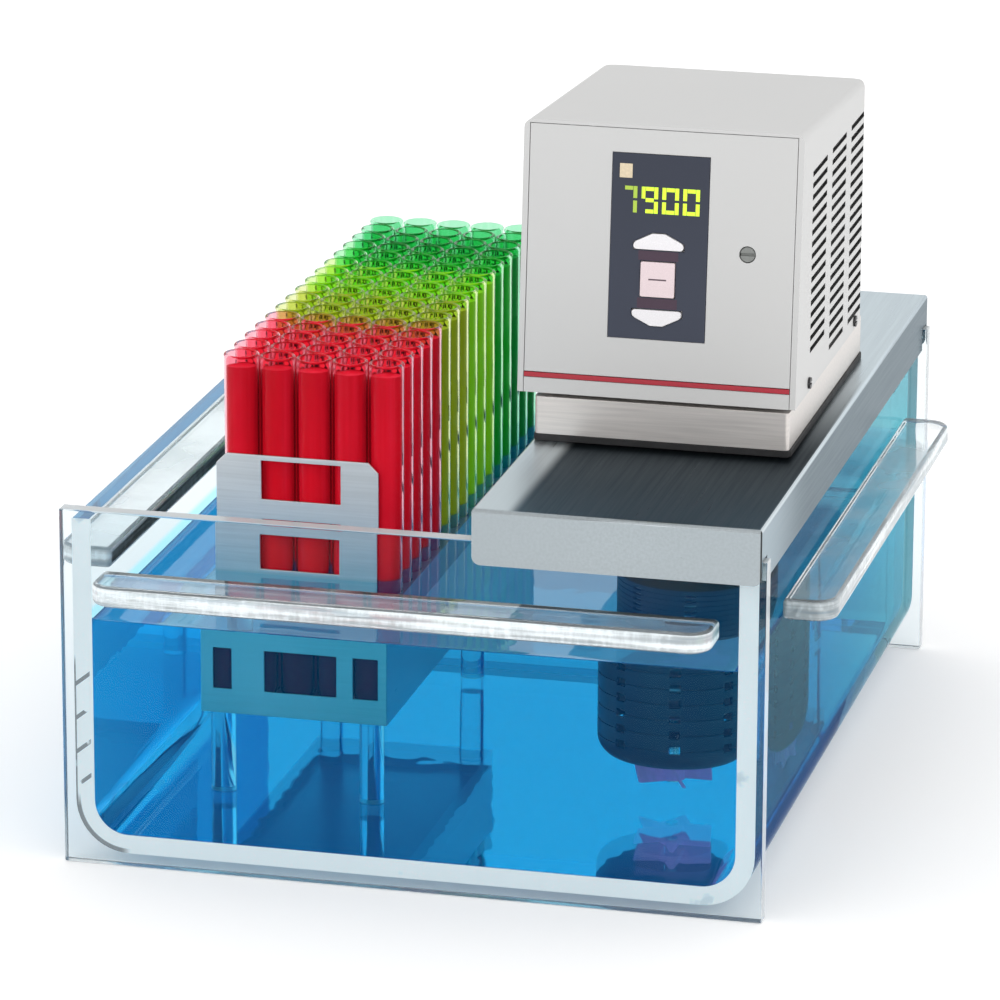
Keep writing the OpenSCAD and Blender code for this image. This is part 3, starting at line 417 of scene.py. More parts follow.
def cement_seam(name, bend):
    """Cured cement: white, with fine bubbles, dark strokes and an arc round the front left bend,
    and a faint painted glow.
    """
    shader = finish(name)
    bubbles = shader.node(
        "ShaderNodeTexVoronoi", {}, {"Vector": shader.place(), "Scale": 420.0}, "Distance"
    )
    voids = shader.span(shader.noise(55, detail=3), 0.66, 0.72)
    base = shader.mix(shader.span(bubbles, 0.05, 0.4), (0.98, 0.99, 1.0), (0.92, 0.96, 0.98))
    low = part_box("tank_trough")[0]
    x, y, z = shader.axes()
    across = x - (low.x + bend)
    height = z - (low.z + bend)
    reach = (across * across + height * height).math("SQRT")
    corner = shader.span(across, 2 * MM, -4 * MM) * shader.span(height, 4 * MM, -4 * MM)
    arc = corner * shader.span(reach, bend - 2.6 * MM, bend - 1.8 * MM)
    outer = shader.span(across, 1.0 * MM - bend, 0.6 * MM - bend)
    tall = shader.span(height, -3 * MM, 0.0) * shader.span(height, 72 * MM, 64 * MM)
    spacing = 16.5 * MM
    stroke = ((z - x * 0.8) * (1 / spacing)).math("FRACT")
    strokes = shader.span(stroke, 0.84, 0.88) * shader.span(shader.noise(70), 0.42, 0.46)
    inner = shader.span(across, 8 * MM - bend, 7 * MM - bend)
    dark_marks = arc + tall * (outer + strokes * inner - outer * strokes * inner)
    dark_marks = dark_marks * shader.span(y, 0.0, -1 * MM)
    base = shader.mix(dark_marks, base, (0.02, 0.04, 0.06))
    return shader.surface(
        Base_Color=shader.mix(voids, base, (0.60, 0.70, 0.76)),
        Roughness=0.35,
        # painted glow: the cement gives off a faint light of its own
        Emission_Color=(0.92, 0.97, 1.0),
        Emission_Strength=0.22,
    )


def brush(shader, base, grain, roughness):
    """Brush lines: the bright and dark of them, their soft cloud and two of their sockets."""
    lines = shader.noise(700, grain, 3, 0.6)
    cloud = shader.noise(9, detail=3)
    wiped = shader.mix(shader.span(lines, 0.3, 0.7), tinted(base, 0.93), tinted(base, 1.06))
    rough = shader.span(lines, 0.2, 0.8, roughness - 0.05, roughness + 0.07) + cloud * 0.04
    sockets = {"Roughness": rough, "Normal": shader.bump(lines, 0.00003, 0.4)}
    return wiped, shader.span(cloud, 0.35, 0.7) * 0.5, sockets


def brushed_metal(name, base, grain=(1, 0.02, 1), roughness=0.3, metal=1.0, level=0.0):
    """Sheet metal brushed along the axis where the grain is long, and painted darker and blue-green
    below a level, standing in for the bath's light on the wetted steel.
    """
    shader = finish(name)
    wiped, cloud, sockets = brush(shader, base, grain, roughness)
    # painted colour: below the level the steel is tinted blue-green for the bath's light on it, and
    # the tint rides with the piece
    wiped = shader.mix(shader.under(level), wiped, wiped * (0.42, 0.74, 0.73))
    shade = shader.mix(cloud, wiped, tinted(base, 0.94))
    return shader.surface(Base_Color=shade, Metallic=metal, **sockets)


def bridge_sheet(name, base, shade, seam):
    """The bridge's brushed sheet, with painted shade and a painted dark reflection on its top where
    the head stands over it, painted light on the rest of its top and its sides, and painted
    highlights along its fold rims.
    """
    shader = finish(name)
    wiped, cloud, sockets = brush(shader, base, (1, 0.02, 1), 0.3)
    low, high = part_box("bridge_plate")
    plinth_low, plinth_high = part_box("mounting_plinth")
    x, y = shader.axes()[:2]
    facing = shader.facing()
    upward = facing.part("Z")
    across = shader.span(x, low.x + 15 * MM, low.x + 22 * MM)
    fade = shader.span(y, plinth_high.y - 30 * MM, plinth_low.y)
    depth = shader.span(y, low.y, plinth_low.y)
    top = shader.span(upward, 0.8, 0.97)
    rim = shader.span(upward, 0.1, 0.25) * shader.span(upward, 0.99, 0.93)
    side = shader.span(facing.part("X"), 0.8, 0.97)
    front = shader.span(facing.part("Y"), -0.8, -0.97)
    # painted shade: before the head the top is darkened, darkest next to the plinth, standing in
    # for the head's shade and its dark reflection
    shaded = shader.mix(depth, shade, tinted(shade, 0.1))
    # painted light: the rest of the top is brightened
    tone = shader.mix(top, grey(1.0), (1.5, 1.5, 1.48))
    tone = shader.mix(across * fade * top, tone, shaded)
    # painted light and shade: the sides are brighter at the front and darker towards the rear
    side_tone = shader.mix(depth, (1.15, 1.2, 1.22), (0.42, 0.46, 0.48))
    tone = shader.mix(side, tone, side_tone)
    tone = shader.mix(front, tone, (0.95, 0.97, 0.98))
    # painted highlight along the fold rims
    tone = shader.mix(rim, tone, grey(1.6))
    corner = shader.span(x, high.x - seam * 2, high.x - seam)
    corner = corner * shader.span(y, low.y + seam * 2, low.y + seam)
    tone = shader.mix(corner, tone, grey(0.12))
    wiped = shader.mix(cloud, wiped, tinted(base, 0.94))
    return shader.surface(
        Base_Color=wiped * tone, Metallic=1.0, Specular_Tint=(0.68, 0.73, 0.77), **sockets
    )


def bright_metal(name, base):
    """Turned or drawn metal with faint tarnish."""
    shader = finish(name)
    tarnish = shader.span(shader.noise(70, detail=4), 0.45, 0.75)
    return shader.surface(
        Base_Color=shader.mix(tarnish * 0.35, base, tinted(base, 0.7)),
        Metallic=1.0,
        Roughness=tarnish * 0.15 + 0.18,
    )


def painted_sheet(name, base):
    """Stove enamel with a fine orange peel, and painted shade on the cut edges inside the side's
    louvres.
    """
    shader = finish(name)
    cloud = shader.noise(6, detail=3)
    specks = shader.noise(1500)
    shade = shader.mix(shader.span(cloud, 0.3, 0.7), tinted(base, 0.985), tinted(base, 1.01))
    low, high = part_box("head_cover")
    x, y, z = shader.axes()
    # painted shade: the walls of the louvre slots are darkened nearly to black for the shade inside
    # the slots
    cut = shader.span(shader.facing().part("X").math("ABSOLUTE"), 0.7, 0.3)
    cut = cut * shader.span(x, high.x - 4 * MM, high.x - 3 * MM)
    cut = cut * shader.span(z, high.z - 12 * MM, high.z - 14 * MM)
    cut = cut * shader.span(y, low.y + 28 * MM, low.y + 30 * MM)
    shade = shader.mix(cut, shade, tinted(base, 0.06))
    return shader.surface(
        Base_Color=shader.mix(shader.span(specks, 0.62, 0.72) * 0.12, shade, tinted(base, 0.85)),
        Roughness=shader.span(cloud, 0.3, 0.7, 0.42, 0.5),
        Specular_IOR_Level=0.35,
        Normal=shader.bump(specks, 0.00006, 0.35),
    )


def moulded(name, base, roughness, grain=900.0):
    """Moulded plastic with a fine spark-eroded grain."""
    shader = finish(name)
    specks = shader.noise(grain, detail=3)
    speckled = shader.span(specks, 0.4, 0.7)
    return shader.surface(
        Base_Color=shader.mix(speckled, tinted(base, 0.94), tinted(base, 1.05)),
        Roughness=shader.span(specks, 0.3, 0.7, roughness - 0.04, roughness + 0.06),
        Normal=shader.bump(specks, 0.00005, 0.3),
    )


def rubber(name, base):
    """Matt rubber with a dusty bloom."""
    shader = finish(name)
    bloom = shader.noise(240, detail=4)
    return shader.surface(
        Base_Color=shader.mix(shader.span(bloom, 0.45, 0.8), base, tinted(base, 2.2)),
        Roughness=shader.span(bloom, 0.3, 0.8, 0.6, 0.8),
        Normal=shader.bump(bloom, 0.0001, 0.3),
    )


def panel_film(name, base):
    """Printed film over the control panel: satin, slightly darker towards its top."""
    shader = finish(name)
    weave = shader.noise(1800)
    height = shader.place().part("Z")
    low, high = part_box("control_panel")
    upper = shader.span(height, low.z, high.z)
    return shader.surface(
        Base_Color=shader.mix(upper, tinted(base, 1.12), tinted(base, 0.9)),
        Roughness=shader.span(weave, 0.3, 0.7, 0.3, 0.38),
        Specular_IOR_Level=0.25,
        Normal=shader.bump(weave, 0.00002, 0.3),
    )


def lit_strokes(name, base):
    """Glowing strokes of the read-out, its first digit half faded."""
    shader = finish(name)
    low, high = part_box("display_segments")
    across = shader.place().part("X")
    step = (high.x - low.x) / 4
    lit = shader.span(across, low.x + step * 0.86, low.x + step, 0.45)
    cells = shader.span(shader.noise(1600), 0.3, 0.7, 0.86)
    glow = shader.mix(lit * cells, grey(0.0), base)
    return shader.surface(
        Base_Color=shader.mix(lit, (0.10, 0.13, 0.07), (0.35, 0.45, 0.03)),
        Roughness=0.4,
        Emission_Color=glow,
        Emission_Strength=1.0,
    )


def circuit_board(name):
    """Green solder mask over copper tracks."""
    shader = finish(name)
    tracks = shader.node(
        "ShaderNodeTexBrick", {"offset": 0.5},
        {"Vector": shader.place(), "Scale": 240.0, "Mortar Size": 0.03, "Color1": grey(0.0),
         "Color2": grey(0.0), "Mortar": grey(1.0)},
    )
    return shader.surface(
        Base_Color=shader.mix(tracks, (0.01, 0.09, 0.035), (0.05, 0.22, 0.09)),
        Roughness=0.35,
        Normal=shader.bump(shader.noise(500), 0.0001, 0.3),
    )


def banded(name, axis, scale, dark, light, metal, roughness):
    """Sheets or turns laid side by side along an axis."""
    shader = finish(name)
    inputs = {"Vector": shader.place(), "Scale": scale}
    bands = shader.node("ShaderNodeTexWave", {"bands_direction": axis}, inputs)
    return shader.surface(
        Base_Color=shader.mix(bands, dark, light), Metallic=metal, Roughness=roughness
    )


def tube_glass(name, stops):
    """Thin borosilicate glass, painted row by row in a tint of the sample in it, standing in for
    the sample seen through the glass.
    """
    shader = finish(name)
    low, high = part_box("test_tubes")
    along = shader.node(
        "ShaderNodeMapRange", {},
        {"Value": shader.place().part("Y"), "From Min": low.y, "From Max": high.y},
    )
    # painted colour: each row of glass is tinted as its sample, for the sample seen through it
    rows = shader.node("ShaderNodeValToRGB", {"stops": stops}, {"Fac": along})
    draw_lines = shader.span(shader.noise(300, (1, 1, 0.05), 2), 0.5, 0.8)
    shade = shader.mix(draw_lines * 0.3, rows, (0.93, 0.96, 0.96))
    return shader.surface(**see_through(shade, draw_lines * 0.01, 0.3, TUBE_IOR))


def row_stops(rows, tints):
    """Ramp stops for groups of tube rows, each with its tint."""
    total = sum(rows)
    stops = []
    done = 0
    for count, tint in zip(rows, tints):
        stops += [((done + 0.02) / total, tint), ((done + count - 0.02) / total, tint)]
        done += count
    return stops


def dyed_sample(name, base, edge, level, glow):
    """A dyed stuff with paler upright streaks as painted highlights, a painted glow above a level,
    and painted darker and blue-green below it.
    """
    shader = finish(name)
    streaks = shader.noise(150, (1, 1, 0.02), 3)
    drift = shader.noise(26, (1, 1, 0.6), 3)
    # painted highlight: paler upright streaks stand in for light running down the round tubes
    shade = shader.mix(shader.span(streaks, 0.42, 0.66), base, edge)
    shade = shader.mix(shader.span(drift, 0.4, 0.7) * 0.35, shade, tinted(base, 0.7))
    return shader.surface(
        # painted shade: below the level the colour is darkened and turned blue-green for the bath's
        # light on it
        Base_Color=shader.mix(shader.under(level), shade, shade * (0.35, 0.7, 0.75)),
        Roughness=0.3,
        Specular_IOR_Level=0.1,
        Transmission_Weight=0.08,
        IOR=SAMPLE_IOR,
        # painted glow: above the level the sample gives off a faint light in its paler colour
        Emission_Color=shader.mix(shader.under(level), edge, grey(0.0)),
        Emission_Strength=glow,
    )


def make_finishes(sizes, colours):
    """Every finish, named for its slot."""
    wet = sizes.water_level
    clear_sheet("clear_acrylic", colours.acrylic)
    trough_sheet(
        "trough_acrylic", colours.acrylic, colours.far_wall_painted_tint, colours.near_wall_painted_tint, wet
    )
    grip_sheet("grip_acrylic", (0.96, 0.985, 0.995))
    bath_water("bath_water", colours.water, WATER_DENSITY)
    cement_seam("cement", sizes.bend + sizes.wall)
    brushed_metal("stainless", colours.steel)
    bridge_sheet("bridge_steel", colours.steel, colours.shade, sizes.seam)
    brushed_metal("rack_steel", colours.rack_steel, (0.02, 1, 1), 0.34, level=wet)
    brushed_metal("plinth_steel", colours.plinth, (0.03, 1, 1), 0.32, metal=0.55)
    rubber("black_rubber", (0.012, 0.012, 0.013))
    painted_sheet("head_paint", colours.paint)
    panel_film("panel_slate", colours.slate)
    lit_strokes("display_green", colours.display)
    bright_metal("bright_metal", (0.72, 0.72, 0.70))
    circuit_board("board_green")
    banded("lamination", "X", 480.0, (0.10, 0.10, 0.11), (0.22, 0.22, 0.23), 0.7, 0.5)
    banded("copper", "Z", 600.0, (0.30, 0.10, 0.04), (0.62, 0.26, 0.10), 1.0, 0.35)
    for slot, base, roughness in (
        ("rest_polymer", (0.06, 0.065, 0.07), 0.5),
        ("stripe_red", colours.red, 0.35),
        ("lamp_cream", (0.72, 0.60, 0.42), 0.35),
        ("key_bar", (0.05, 0.022, 0.045), 0.4),
        ("black_plastic", (0.018, 0.018, 0.02), 0.42),
        ("adjuster_grey", (0.22, 0.23, 0.22), 0.5),
        ("switch_red", (0.35, 0.012, 0.012), 0.3),
        ("motor_grey", (0.16, 0.17, 0.18), 0.4),
        ("guard_slate", colours.guard, 0.35),
        ("float_white", (0.75, 0.76, 0.76), 0.4),
        ("print_dark", (0.10, 0.06, 0.08), 0.5),
        ("print_white", (0.80, 0.80, 0.78), 0.5),
    ):
        moulded(slot, base, roughness)
    for slot, base in (("key_white", colours.key), ("key_pale", colours.pale_key)):
        moulded(slot, base, 0.4, 3200)
    # painted tints of the clear tube glass, row by row, for the samples seen through it
    row_painted_tints = (
        (0.95, 0.47, 0.54), (0.80, 0.85, 0.44), (0.70, 0.90, 0.40), (0.44, 0.87, 0.50),
        (0.38, 0.82, 0.54),
    )
    tube_glass("tube_glass", row_stops((5, 3, 3, 2, 3), row_painted_tints))
    # each sample's paler colour serves its painted highlights and its painted glow, whose strength
    # is the last value
    for slot, base, edge, glow in (
        ("sample_red", (0.86, 0.010, 0.040), (1.0, 0.04, 0.10), 0.11),
        ("sample_amber", (0.40, 0.52, 0.02), (0.56, 0.72, 0.04), 0.14),
        ("sample_lime", (0.30, 0.72, 0.01), (0.42, 0.86, 0.03), 0.18),
        ("sample_green", (0.01, 0.50, 0.04), (0.04, 0.66, 0.07), 0.08),
        ("sample_dark", (0.004, 0.30, 0.05), (0.02, 0.44, 0.09), 0.07),
    ):
        dyed_sample(slot, base, edge, wet, glow)
    # the impeller takes the same finish: painted highlights and a painted pink glow
    dyed_sample("impeller_pink", colours.impeller, (1.0, 0.42, 0.80), 0.0, 0.2)


def finish_of(slot):
    """The finish made for a slot."""
    return bpy.data.materials[f"{slot}_finish"]


# ---------- meshes ----------


def new_object(name, form, material):
    """Puts a bmesh into the scene as an object."""
    mesh = bpy.data.meshes.new(name)
    form.to_mesh(mesh)
    form.free()
    mesh.materials.append(material)
    made = bpy.data.objects.new(name, mesh)
    bpy.context.scene.collection.objects.link(made)
    return made


def new_piece(name, form, finish_name, body):
    """Puts a bmesh into the scene as a piece that rides on a body."""
    piece = new_object(name, form, finish_of(finish_name))
    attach(piece, body)
    return piece


def cleaned(node):
    """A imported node's mesh with its flat faces whole again."""
    form = bmesh.new()
    form.from_mesh(frame["nodes"][node].data)
    bmesh.ops.remove_doubles(form, verts=form.verts, dist=WELD)
    bmesh.ops.dissolve_limit(
        form, angle_limit=math.radians(0.4), use_dissolve_boundaries=False, verts=form.verts,
        edges=form.edges,
    )
    return form


def sharp_edges(form, degrees, wanted):
    """The edges that turn by more than an angle and, where wanted is a test, pass it."""
    limit = math.radians(degrees)
    return [
        edge for edge in form.edges
        if len(edge.link_faces) == 2 and edge.calc_face_angle(0) > limit
        and (wanted is None or wanted(edge))
    ]


def smooth_closed(form):
    """Turns a closed form's faces outward and shades them smooth."""
    bmesh.ops.recalc_face_normals(form, faces=form.faces)
    for face in form.faces:
        face.smooth = True


def weigh_normals(piece):
    """Flat faces keep their own normal and the rounded edges turn between them."""
    weighted = piece.modifiers.new("weighted", "WEIGHTED_NORMAL")
    weighted.mode = "FACE_AREA"
    weighted.weight = 100
    weighted.keep_sharp = True


def softened(node, *rounds, segments=3, degrees=30, finish_name=None, flat_area=None):
    """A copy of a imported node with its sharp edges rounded, which stands for the node.

    Each of rounds is a radius, or a radius with a test of which edges it is for. Faces over
    flat_area stay plane in their shading."""
    form = cleaned(node)
    for entry in rounds:
        radius, wanted = entry if isinstance(entry, tuple) else (entry, None)
        edges = sharp_edges(form, degrees, wanted)
        bmesh.ops.bevel(
            form, geom=edges, offset=radius, offset_type="OFFSET", segments=segments, profile=0.5,
            affect="EDGES", clamp_overlap=True,
        )
    for face in form.faces:
        face.smooth = flat_area is None or face.calc_area() < flat_area
    slot = SLOTS[node]
    body = frame["nodes"][node]["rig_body"]
    piece = new_piece(f"{node}_form", form, finish_name or slot, body)
    weigh_normals(piece)
    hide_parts(node)
    return piece


def dress(*nodes):
    """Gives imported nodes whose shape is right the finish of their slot."""
    for node in nodes:
        for slot in frame["nodes"][node].material_slots:
            slot.material = finish_of(SLOTS[node])


def join_rings(form, rings):
    """Faces between each ring of vertices and the next; a ring of one vertex is a pole."""
    for near, far in zip(rings, rings[1:]):
        count = max(len(near), len(far))
        for i in range(count):
            j = (i + 1) % count
            ways = ((near, i), (near, j), (far, j), (far, i))
            corners = [ring[k % len(ring)] for ring, k in ways]
            form.faces.new(list(dict.fromkeys(corners)))


def lathe(form, profile, centre, sides):
    """A closed outline of (radius, height) turned about an upright axis; radius 0 is a pole."""
    rings = []
    for radius, height in profile:
        around = arc(centre, radius, 0, 360, sides)[:-1] if radius else [centre]
        rings.append([form.verts.new((x, y, height)) for x, y in around])
    join_rings(form, rings)


def arc(centre, radius, start, end, steps):
    """Points on an arc, angles in degrees."""
    angles = [math.radians(start + (end - start) * i / steps) for i in range(steps + 1)]
    return [(centre[0] + radius * math.cos(a), centre[1] + radius * math.sin(a)) for a in angles]


def loft(form, rings):
    """Closed rings of points joined one to the next and capped at both ends."""
    rows = [[form.verts.new(point) for point in ring] for ring in rings]
    join_rings(form, rows)
    form.faces.new(list(reversed(rows[0])))
    form.faces.new(rows[-1])


def prism(form, outline, place, depth):
    """An outline of (x, y) points given a depth along place's local Z."""
    loft(form, [[place @ Vector((x, y, z)) for x, y in outline] for z in (0, depth)])


def weld_blocks(form):
    """Joins blocks that lie side by side into one closed form."""
    bmesh.ops.remove_doubles(form, verts=form.verts, dist=WELD)
    seen = {}
    for face in form.faces:
        seen.setdefault(frozenset(face.verts), []).append(face)
    twice = [face for faces in seen.values() if len(faces) > 1 for face in faces]
    bmesh.ops.delete(form, geom=twice, context="FACES")
    bmesh.ops.recalc_face_normals(form, faces=form.faces)


# ---------- tank ----------


def trough_outline(half_width, base, top, bend):
    """U-shaped outline in X and Z, from the left wall's top to the right wall's."""
    left = arc((-half_width + bend, base + bend), bend, 180, 270, 12)
    right = arc((half_width - bend, base + bend), bend, 270, 360, 12)
    return [(-half_width, top), *left, *right, (half_width, top)]


def make_cement(sizes):
    """The cured seams between the trough and its two end plates."""
    low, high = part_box("tank_trough")
    outer = trough_outline(high.x, low.z, high.z, sizes.bend + sizes.wall)
    inner = trough_outline(high.x - sizes.wall, low.z + sizes.wall, high.z, sizes.bend)
    upright = Matrix.Rotation(math.radians(90), 4, "X")
    rear = high.y - TOUCH - sizes.cement
    for name, y in (("front_cement", low.y + TOUCH), ("rear_cement", rear)):
        form = bmesh.new()
        place = Matrix.Translation((0, y + sizes.cement, 0)) @ upright
        for i in range(len(outer) - 1):
            quad = [outer[i], outer[i + 1], inner[i + 1], inner[i]]
            prism(form, quad, place, sizes.cement)
        weld_blocks(form)
        new_piece(name, form, "cement", "tank")


def make_trough(sizes):
    """The bent trough, held off its end plates by the thickness of the cement."""
    piece = softened("tank_trough", sizes.sheet_edge, finish_name="trough_acrylic")
    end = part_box("tank_trough")[1].y - sizes.cement - 2 * TOUCH
    for vertex in piece.data.vertices:
        vertex.co.y -= math.copysign(max(0.0, abs(vertex.co.y) - end), vertex.co.y)


def water_rings(sizes):
    """Cross-sections of the water from front to rear, raised where it meets the walls."""
    low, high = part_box("tank_trough")
    half = high.x - sizes.wall + sizes.water_wet
    base = low.z + sizes.wall - sizes.water_wet
    y0, y1 = low.y - sizes.water_wet, high.y + sizes.water_wet
    reach = 2.2 * MM
    near = [0, 0.3, 0.7, 1.2, 2, 3.2, 5, 9]

    def spread(start, end, middle):
        left = [start + d * MM for d in near]
        right = [end - d * MM for d in reversed(near)]
        gap = right[0] - left[-1]
        inside = [left[-1] + gap * (i + 1) / (middle + 1) for i in range(middle)]
        return left + inside + right

    def rise(distance):
        return sizes.meniscus * math.exp(-distance / reach)

    across = spread(-half, half, 6)
    rings = []
    for y in spread(y0, y1, 6):
        at_end = rise(min(y - y0, y1 - y))
        top = []
        for x in across:
            wall = rise(min(x + half, half - x))
            top.append((x, y, sizes.water_level + math.hypot(at_end, wall)))
        under = trough_outline(half, base, 0, sizes.bend)[1:-1]
        rings.append([(x, y, z) for x, z in under] + list(reversed(top)))
    return rings


def make_water(sizes):
    """The bath water, a closed form whose skin reaches a hair into the walls."""
    form = bmesh.new()
    loft(form, water_rings(sizes))
    smooth_closed(form)
    weigh_normals(new_piece("bath_water", form, "bath_water", "tank"))


# ---------- tubes ----------


def tube_places(node, pitch, width):
    """Centres of the tubes that a node's box holds."""
    low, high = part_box(node)
    columns = round((high.x - low.x - width) / pitch) + 1
    rows = round((high.y - low.y - width) / pitch) + 1
    x0, y0 = low.x + width / 2, low.y + width / 2
    return [(x0 + i * pitch, y0 + j * pitch) for i in range(columns) for j in range(rows)]


def make_tubes(sizes):
    """Test tubes with round bottoms and a bead around each mouth."""
    low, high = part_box("test_tubes")
    pitch = sizes.tube_pitch
    outer = (high.x - low.x - (TUBE_COLUMNS - 1) * pitch) / 2
    inner = outer - sizes.tube_wall
    bead = sizes.tube_bead
    hub = (outer - bead + 0.45 * MM, high.z - bead)
    bowl = arc((0, low.z + outer), outer, -90, 0, 6)
    lip = arc(hub, bead, -40, 180, 9)
    hollow = arc((0, low.z + outer), inner, 0, -90, 6)
    profile = [
        (0, bowl[0][1]), *bowl[1:], *lip, (inner, high.z - 2.4 * bead), *hollow[:-1],
        (0, hollow[-1][1]),
    ]
    form = bmesh.new()
    for centre in tube_places("test_tubes", pitch, 2 * outer):
        lathe(form, profile, centre, 28)
    smooth_closed(form)
    piece = new_piece("test_tubes_form", form, "tube_glass", "rack")
    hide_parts("test_tubes")
    return inner, outer


def make_samples(sizes, inner, outer):
    """The dyed liquids, each with a hollow surface."""
    low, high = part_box("test_tubes")
    radius = inner - 0.06 * MM
    top = high.z - sizes.headspace
    bowl = arc((0, low.z + outer), radius, -90, 0, 5)
    curve = ((1, 0.5), (0.93, 0.05), (0.8, -0.25), (0.5, -0.45), (0, -0.5))
    surface = [(radius * share, top + rise * MM) for share, rise in curve]
    profile = [(0, bowl[0][1]), *bowl[1:], *surface]
    for node in SAMPLE_NODES:
        box_low, box_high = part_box(node)
        width = box_high.x - box_low.x - (TUBE_COLUMNS - 1) * sizes.tube_pitch
        form = bmesh.new()
        for centre in tube_places(node, sizes.tube_pitch, width):
            lathe(form, profile, centre, 24)
        smooth_closed(form)
        slot = SLOTS[node]
        piece = new_piece(f"{node}_form", form, slot, "rack")
        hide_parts(node)


# ---------- head ----------


def face_place(sizes):
    """Where the control panel's face is: its middle in X, its lower edge in Y, Z outward."""
    low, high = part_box("control_panel")
    deep, tall = high.y - low.y, high.z - low.z
    height = math.sqrt(deep ** 2 + tall ** 2 - sizes.panel ** 2)
    lean = math.atan2(deep, tall) - math.atan2(sizes.panel, height)
    origin = Vector(((low.x + high.x) / 2, low.y, low.z + sizes.panel * math.sin(lean)))
    return Matrix.Translation(origin) @ Matrix.Rotation(math.radians(90) - lean, 4, "X")


def rectangle(x0, y0, x1, y1):
    return [(x0, y0), (x1, y0), (x1, y1), (x0, y1)]


def printed(name, outline, place, finish_name, body, height):
    """A printed mark, a hair proud of the face it is on."""
    form = bmesh.new()
    prism(form, outline, place, height)
    bmesh.ops.recalc_face_normals(form, faces=form.faces)
    new_piece(name, form, finish_name, body)


def across_face(node, face):
    """A node's lowest and highest X and Y on the control panel's face."""
    inverse = face.inverted()
    points = [inverse @ vertex.co for vertex in frame["nodes"][node].data.vertices]
    front = max(point.z for point in points)
    outer = [point for point in points if point.z > front - 0.05 * MM]
    return [
        Vector((pick(p.x for p in outer), pick(p.y for p in outer), front)) for pick in (min, max)
    ]


def make_key_print(sizes, face):
    """The dark bars between the keys and the dash on the set key."""
    up_low, up_high = across_face("up_key", face)
    set_low, set_high = across_face("set_key", face)
    down_high = across_face("down_key", face)[1]
    half = (up_high.x - up_low.x) * 0.4
    margin = 0.7 * MM
    gaps = (("upper_bar", set_high.y, up_low.y), ("lower_bar", down_high.y, set_low.y))
    for name, low, high in gaps:
        outline = rectangle(-half, low + margin, half, high - margin)
        printed(name, outline, face, "key_bar", "circulator", sizes.print_height)
    middle = (set_low.y + set_high.y) / 2
    dash = rectangle(-4.2 * MM, middle - 0.35 * MM, 4.2 * MM, middle + 0.35 * MM)
    place = face @ Matrix.Translation((0, 0, set_low.z))
    printed("set_dash", dash, place, "print_dark", "set_key", sizes.print_height)


def make_rocker_print(sizes):
    """The ring and the bar on the two halves of the rocker's face."""
    mesh = frame["nodes"]["mains_switch"].data
    tall, sides = 1.5 * MM, 24
    ring = arc((0, 0), tall, 0, 360, sides)
    hole = arc((0, 0), 1.0 * MM, 0, 360, sides)
    rings = [[ring[i], ring[i + 1], hole[i + 1], hole[i]] for i in range(sides)]
    bar = [rectangle(-0.3 * MM, -tall, 0.3 * MM, tall)]
    for name, half, blocks in (("off_mark", -1, rings), ("on_mark", 1, bar)):
        faces = [face for face in mesh.polygons if face.normal.y > 0.9 and is_half(face, half)]
        normal = max(faces, key=lambda face: face.area).normal
        flat = [face for face in faces if face.normal.dot(normal) > 0.999]
        area = sum(face.area for face in flat)
        middle = sum((face.center * face.area for face in flat), Vector()) / area
        turn = normal.to_track_quat("Z", "Y").to_matrix().to_4x4()
        form = bmesh.new()
        for block in blocks:
            prism(form, block, Matrix.Translation(middle) @ turn, sizes.print_height)
        weld_blocks(form)
        new_piece(name, form, "print_white", "rocker")


def is_half(face, half):
    """Whether a face of the rocker belongs to its upper half, -1, or its lower half, 1."""
    low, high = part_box("mains_switch")
    return (face.center.z - (low.z + high.z) / 2) * half < 0


# ---------- operators ----------


def sizes_of(context):
    return context.scene.bath_sizes


class BATH_OT_finishes(Operator):
    """Make every finish"""

    bl_idname = "bath.finishes"
    bl_label = "Finishes"

    def execute(self, context):
        make_finishes(sizes_of(context), context.scene.bath_colours)
        return {"FINISHED"}


class BATH_OT_tank(Operator):
    """Finish the clear tank and fill it"""

    bl_idname = "bath.tank"
    bl_label = "Tank and water"

    def execute(self, context):
        sizes = sizes_of(context)
        make_trough(sizes)
        for node in ("front_end_plate", "rear_end_plate"):
            softened(node, sizes.sheet_edge)
        make_cement(sizes)
        make_water(sizes)
        return {"FINISHED"}


class BATH_OT_grips(Operator):
    """Finish the four glued grip strips"""

    bl_idname = "bath.grips"
    bl_label = "Grips"

    def execute(self, context):
        sizes = sizes_of(context)
        for node in ("front_grip", "rear_grip", "left_grip", "right_grip"):
            softened(node, sizes.grip_edge, segments=5, degrees=60)
        return {"FINISHED"}


class BATH_OT_bridge(Operator):
    """Finish the stainless bridge and what is under it"""

    bl_idname = "bath.bridge"
    bl_label = "Bridge"

    def execute(self, context):
        sizes = sizes_of(context)
        low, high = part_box("bridge_plate")

        def outer_fold(edge):
            first, second = (v.co for v in edge.verts)
            on_top = min(first.z, second.z) > high.z - TOUCH
            on_rim = all(
                min(abs(p[axis] - end[axis]) for axis in (0, 1) for end in (low, high)) < TOUCH
                for p in (first, second)
            )
            return on_top and on_rim

        softened(
            "bridge_plate", (sizes.fold_radius, outer_fold), segments=4,
            finish_name="bridge_steel", flat_area=400 * MM * MM,
        )
        dress("bridge_rests", "bridge_fixings")
        return {"FINISHED"}


class BATH_OT_plinth(Operator):
    """Finish the plinth, its gasket and the seal above it"""

    bl_idname = "bath.plinth"
    bl_label = "Plinth"

    def execute(self, context):
        sizes = sizes_of(context)
        softened("plinth_gasket", sizes.cover_edge)
        softened("mounting_plinth", sizes.cut_edge)
        dress("neck_seal")
        return {"FINISHED"}


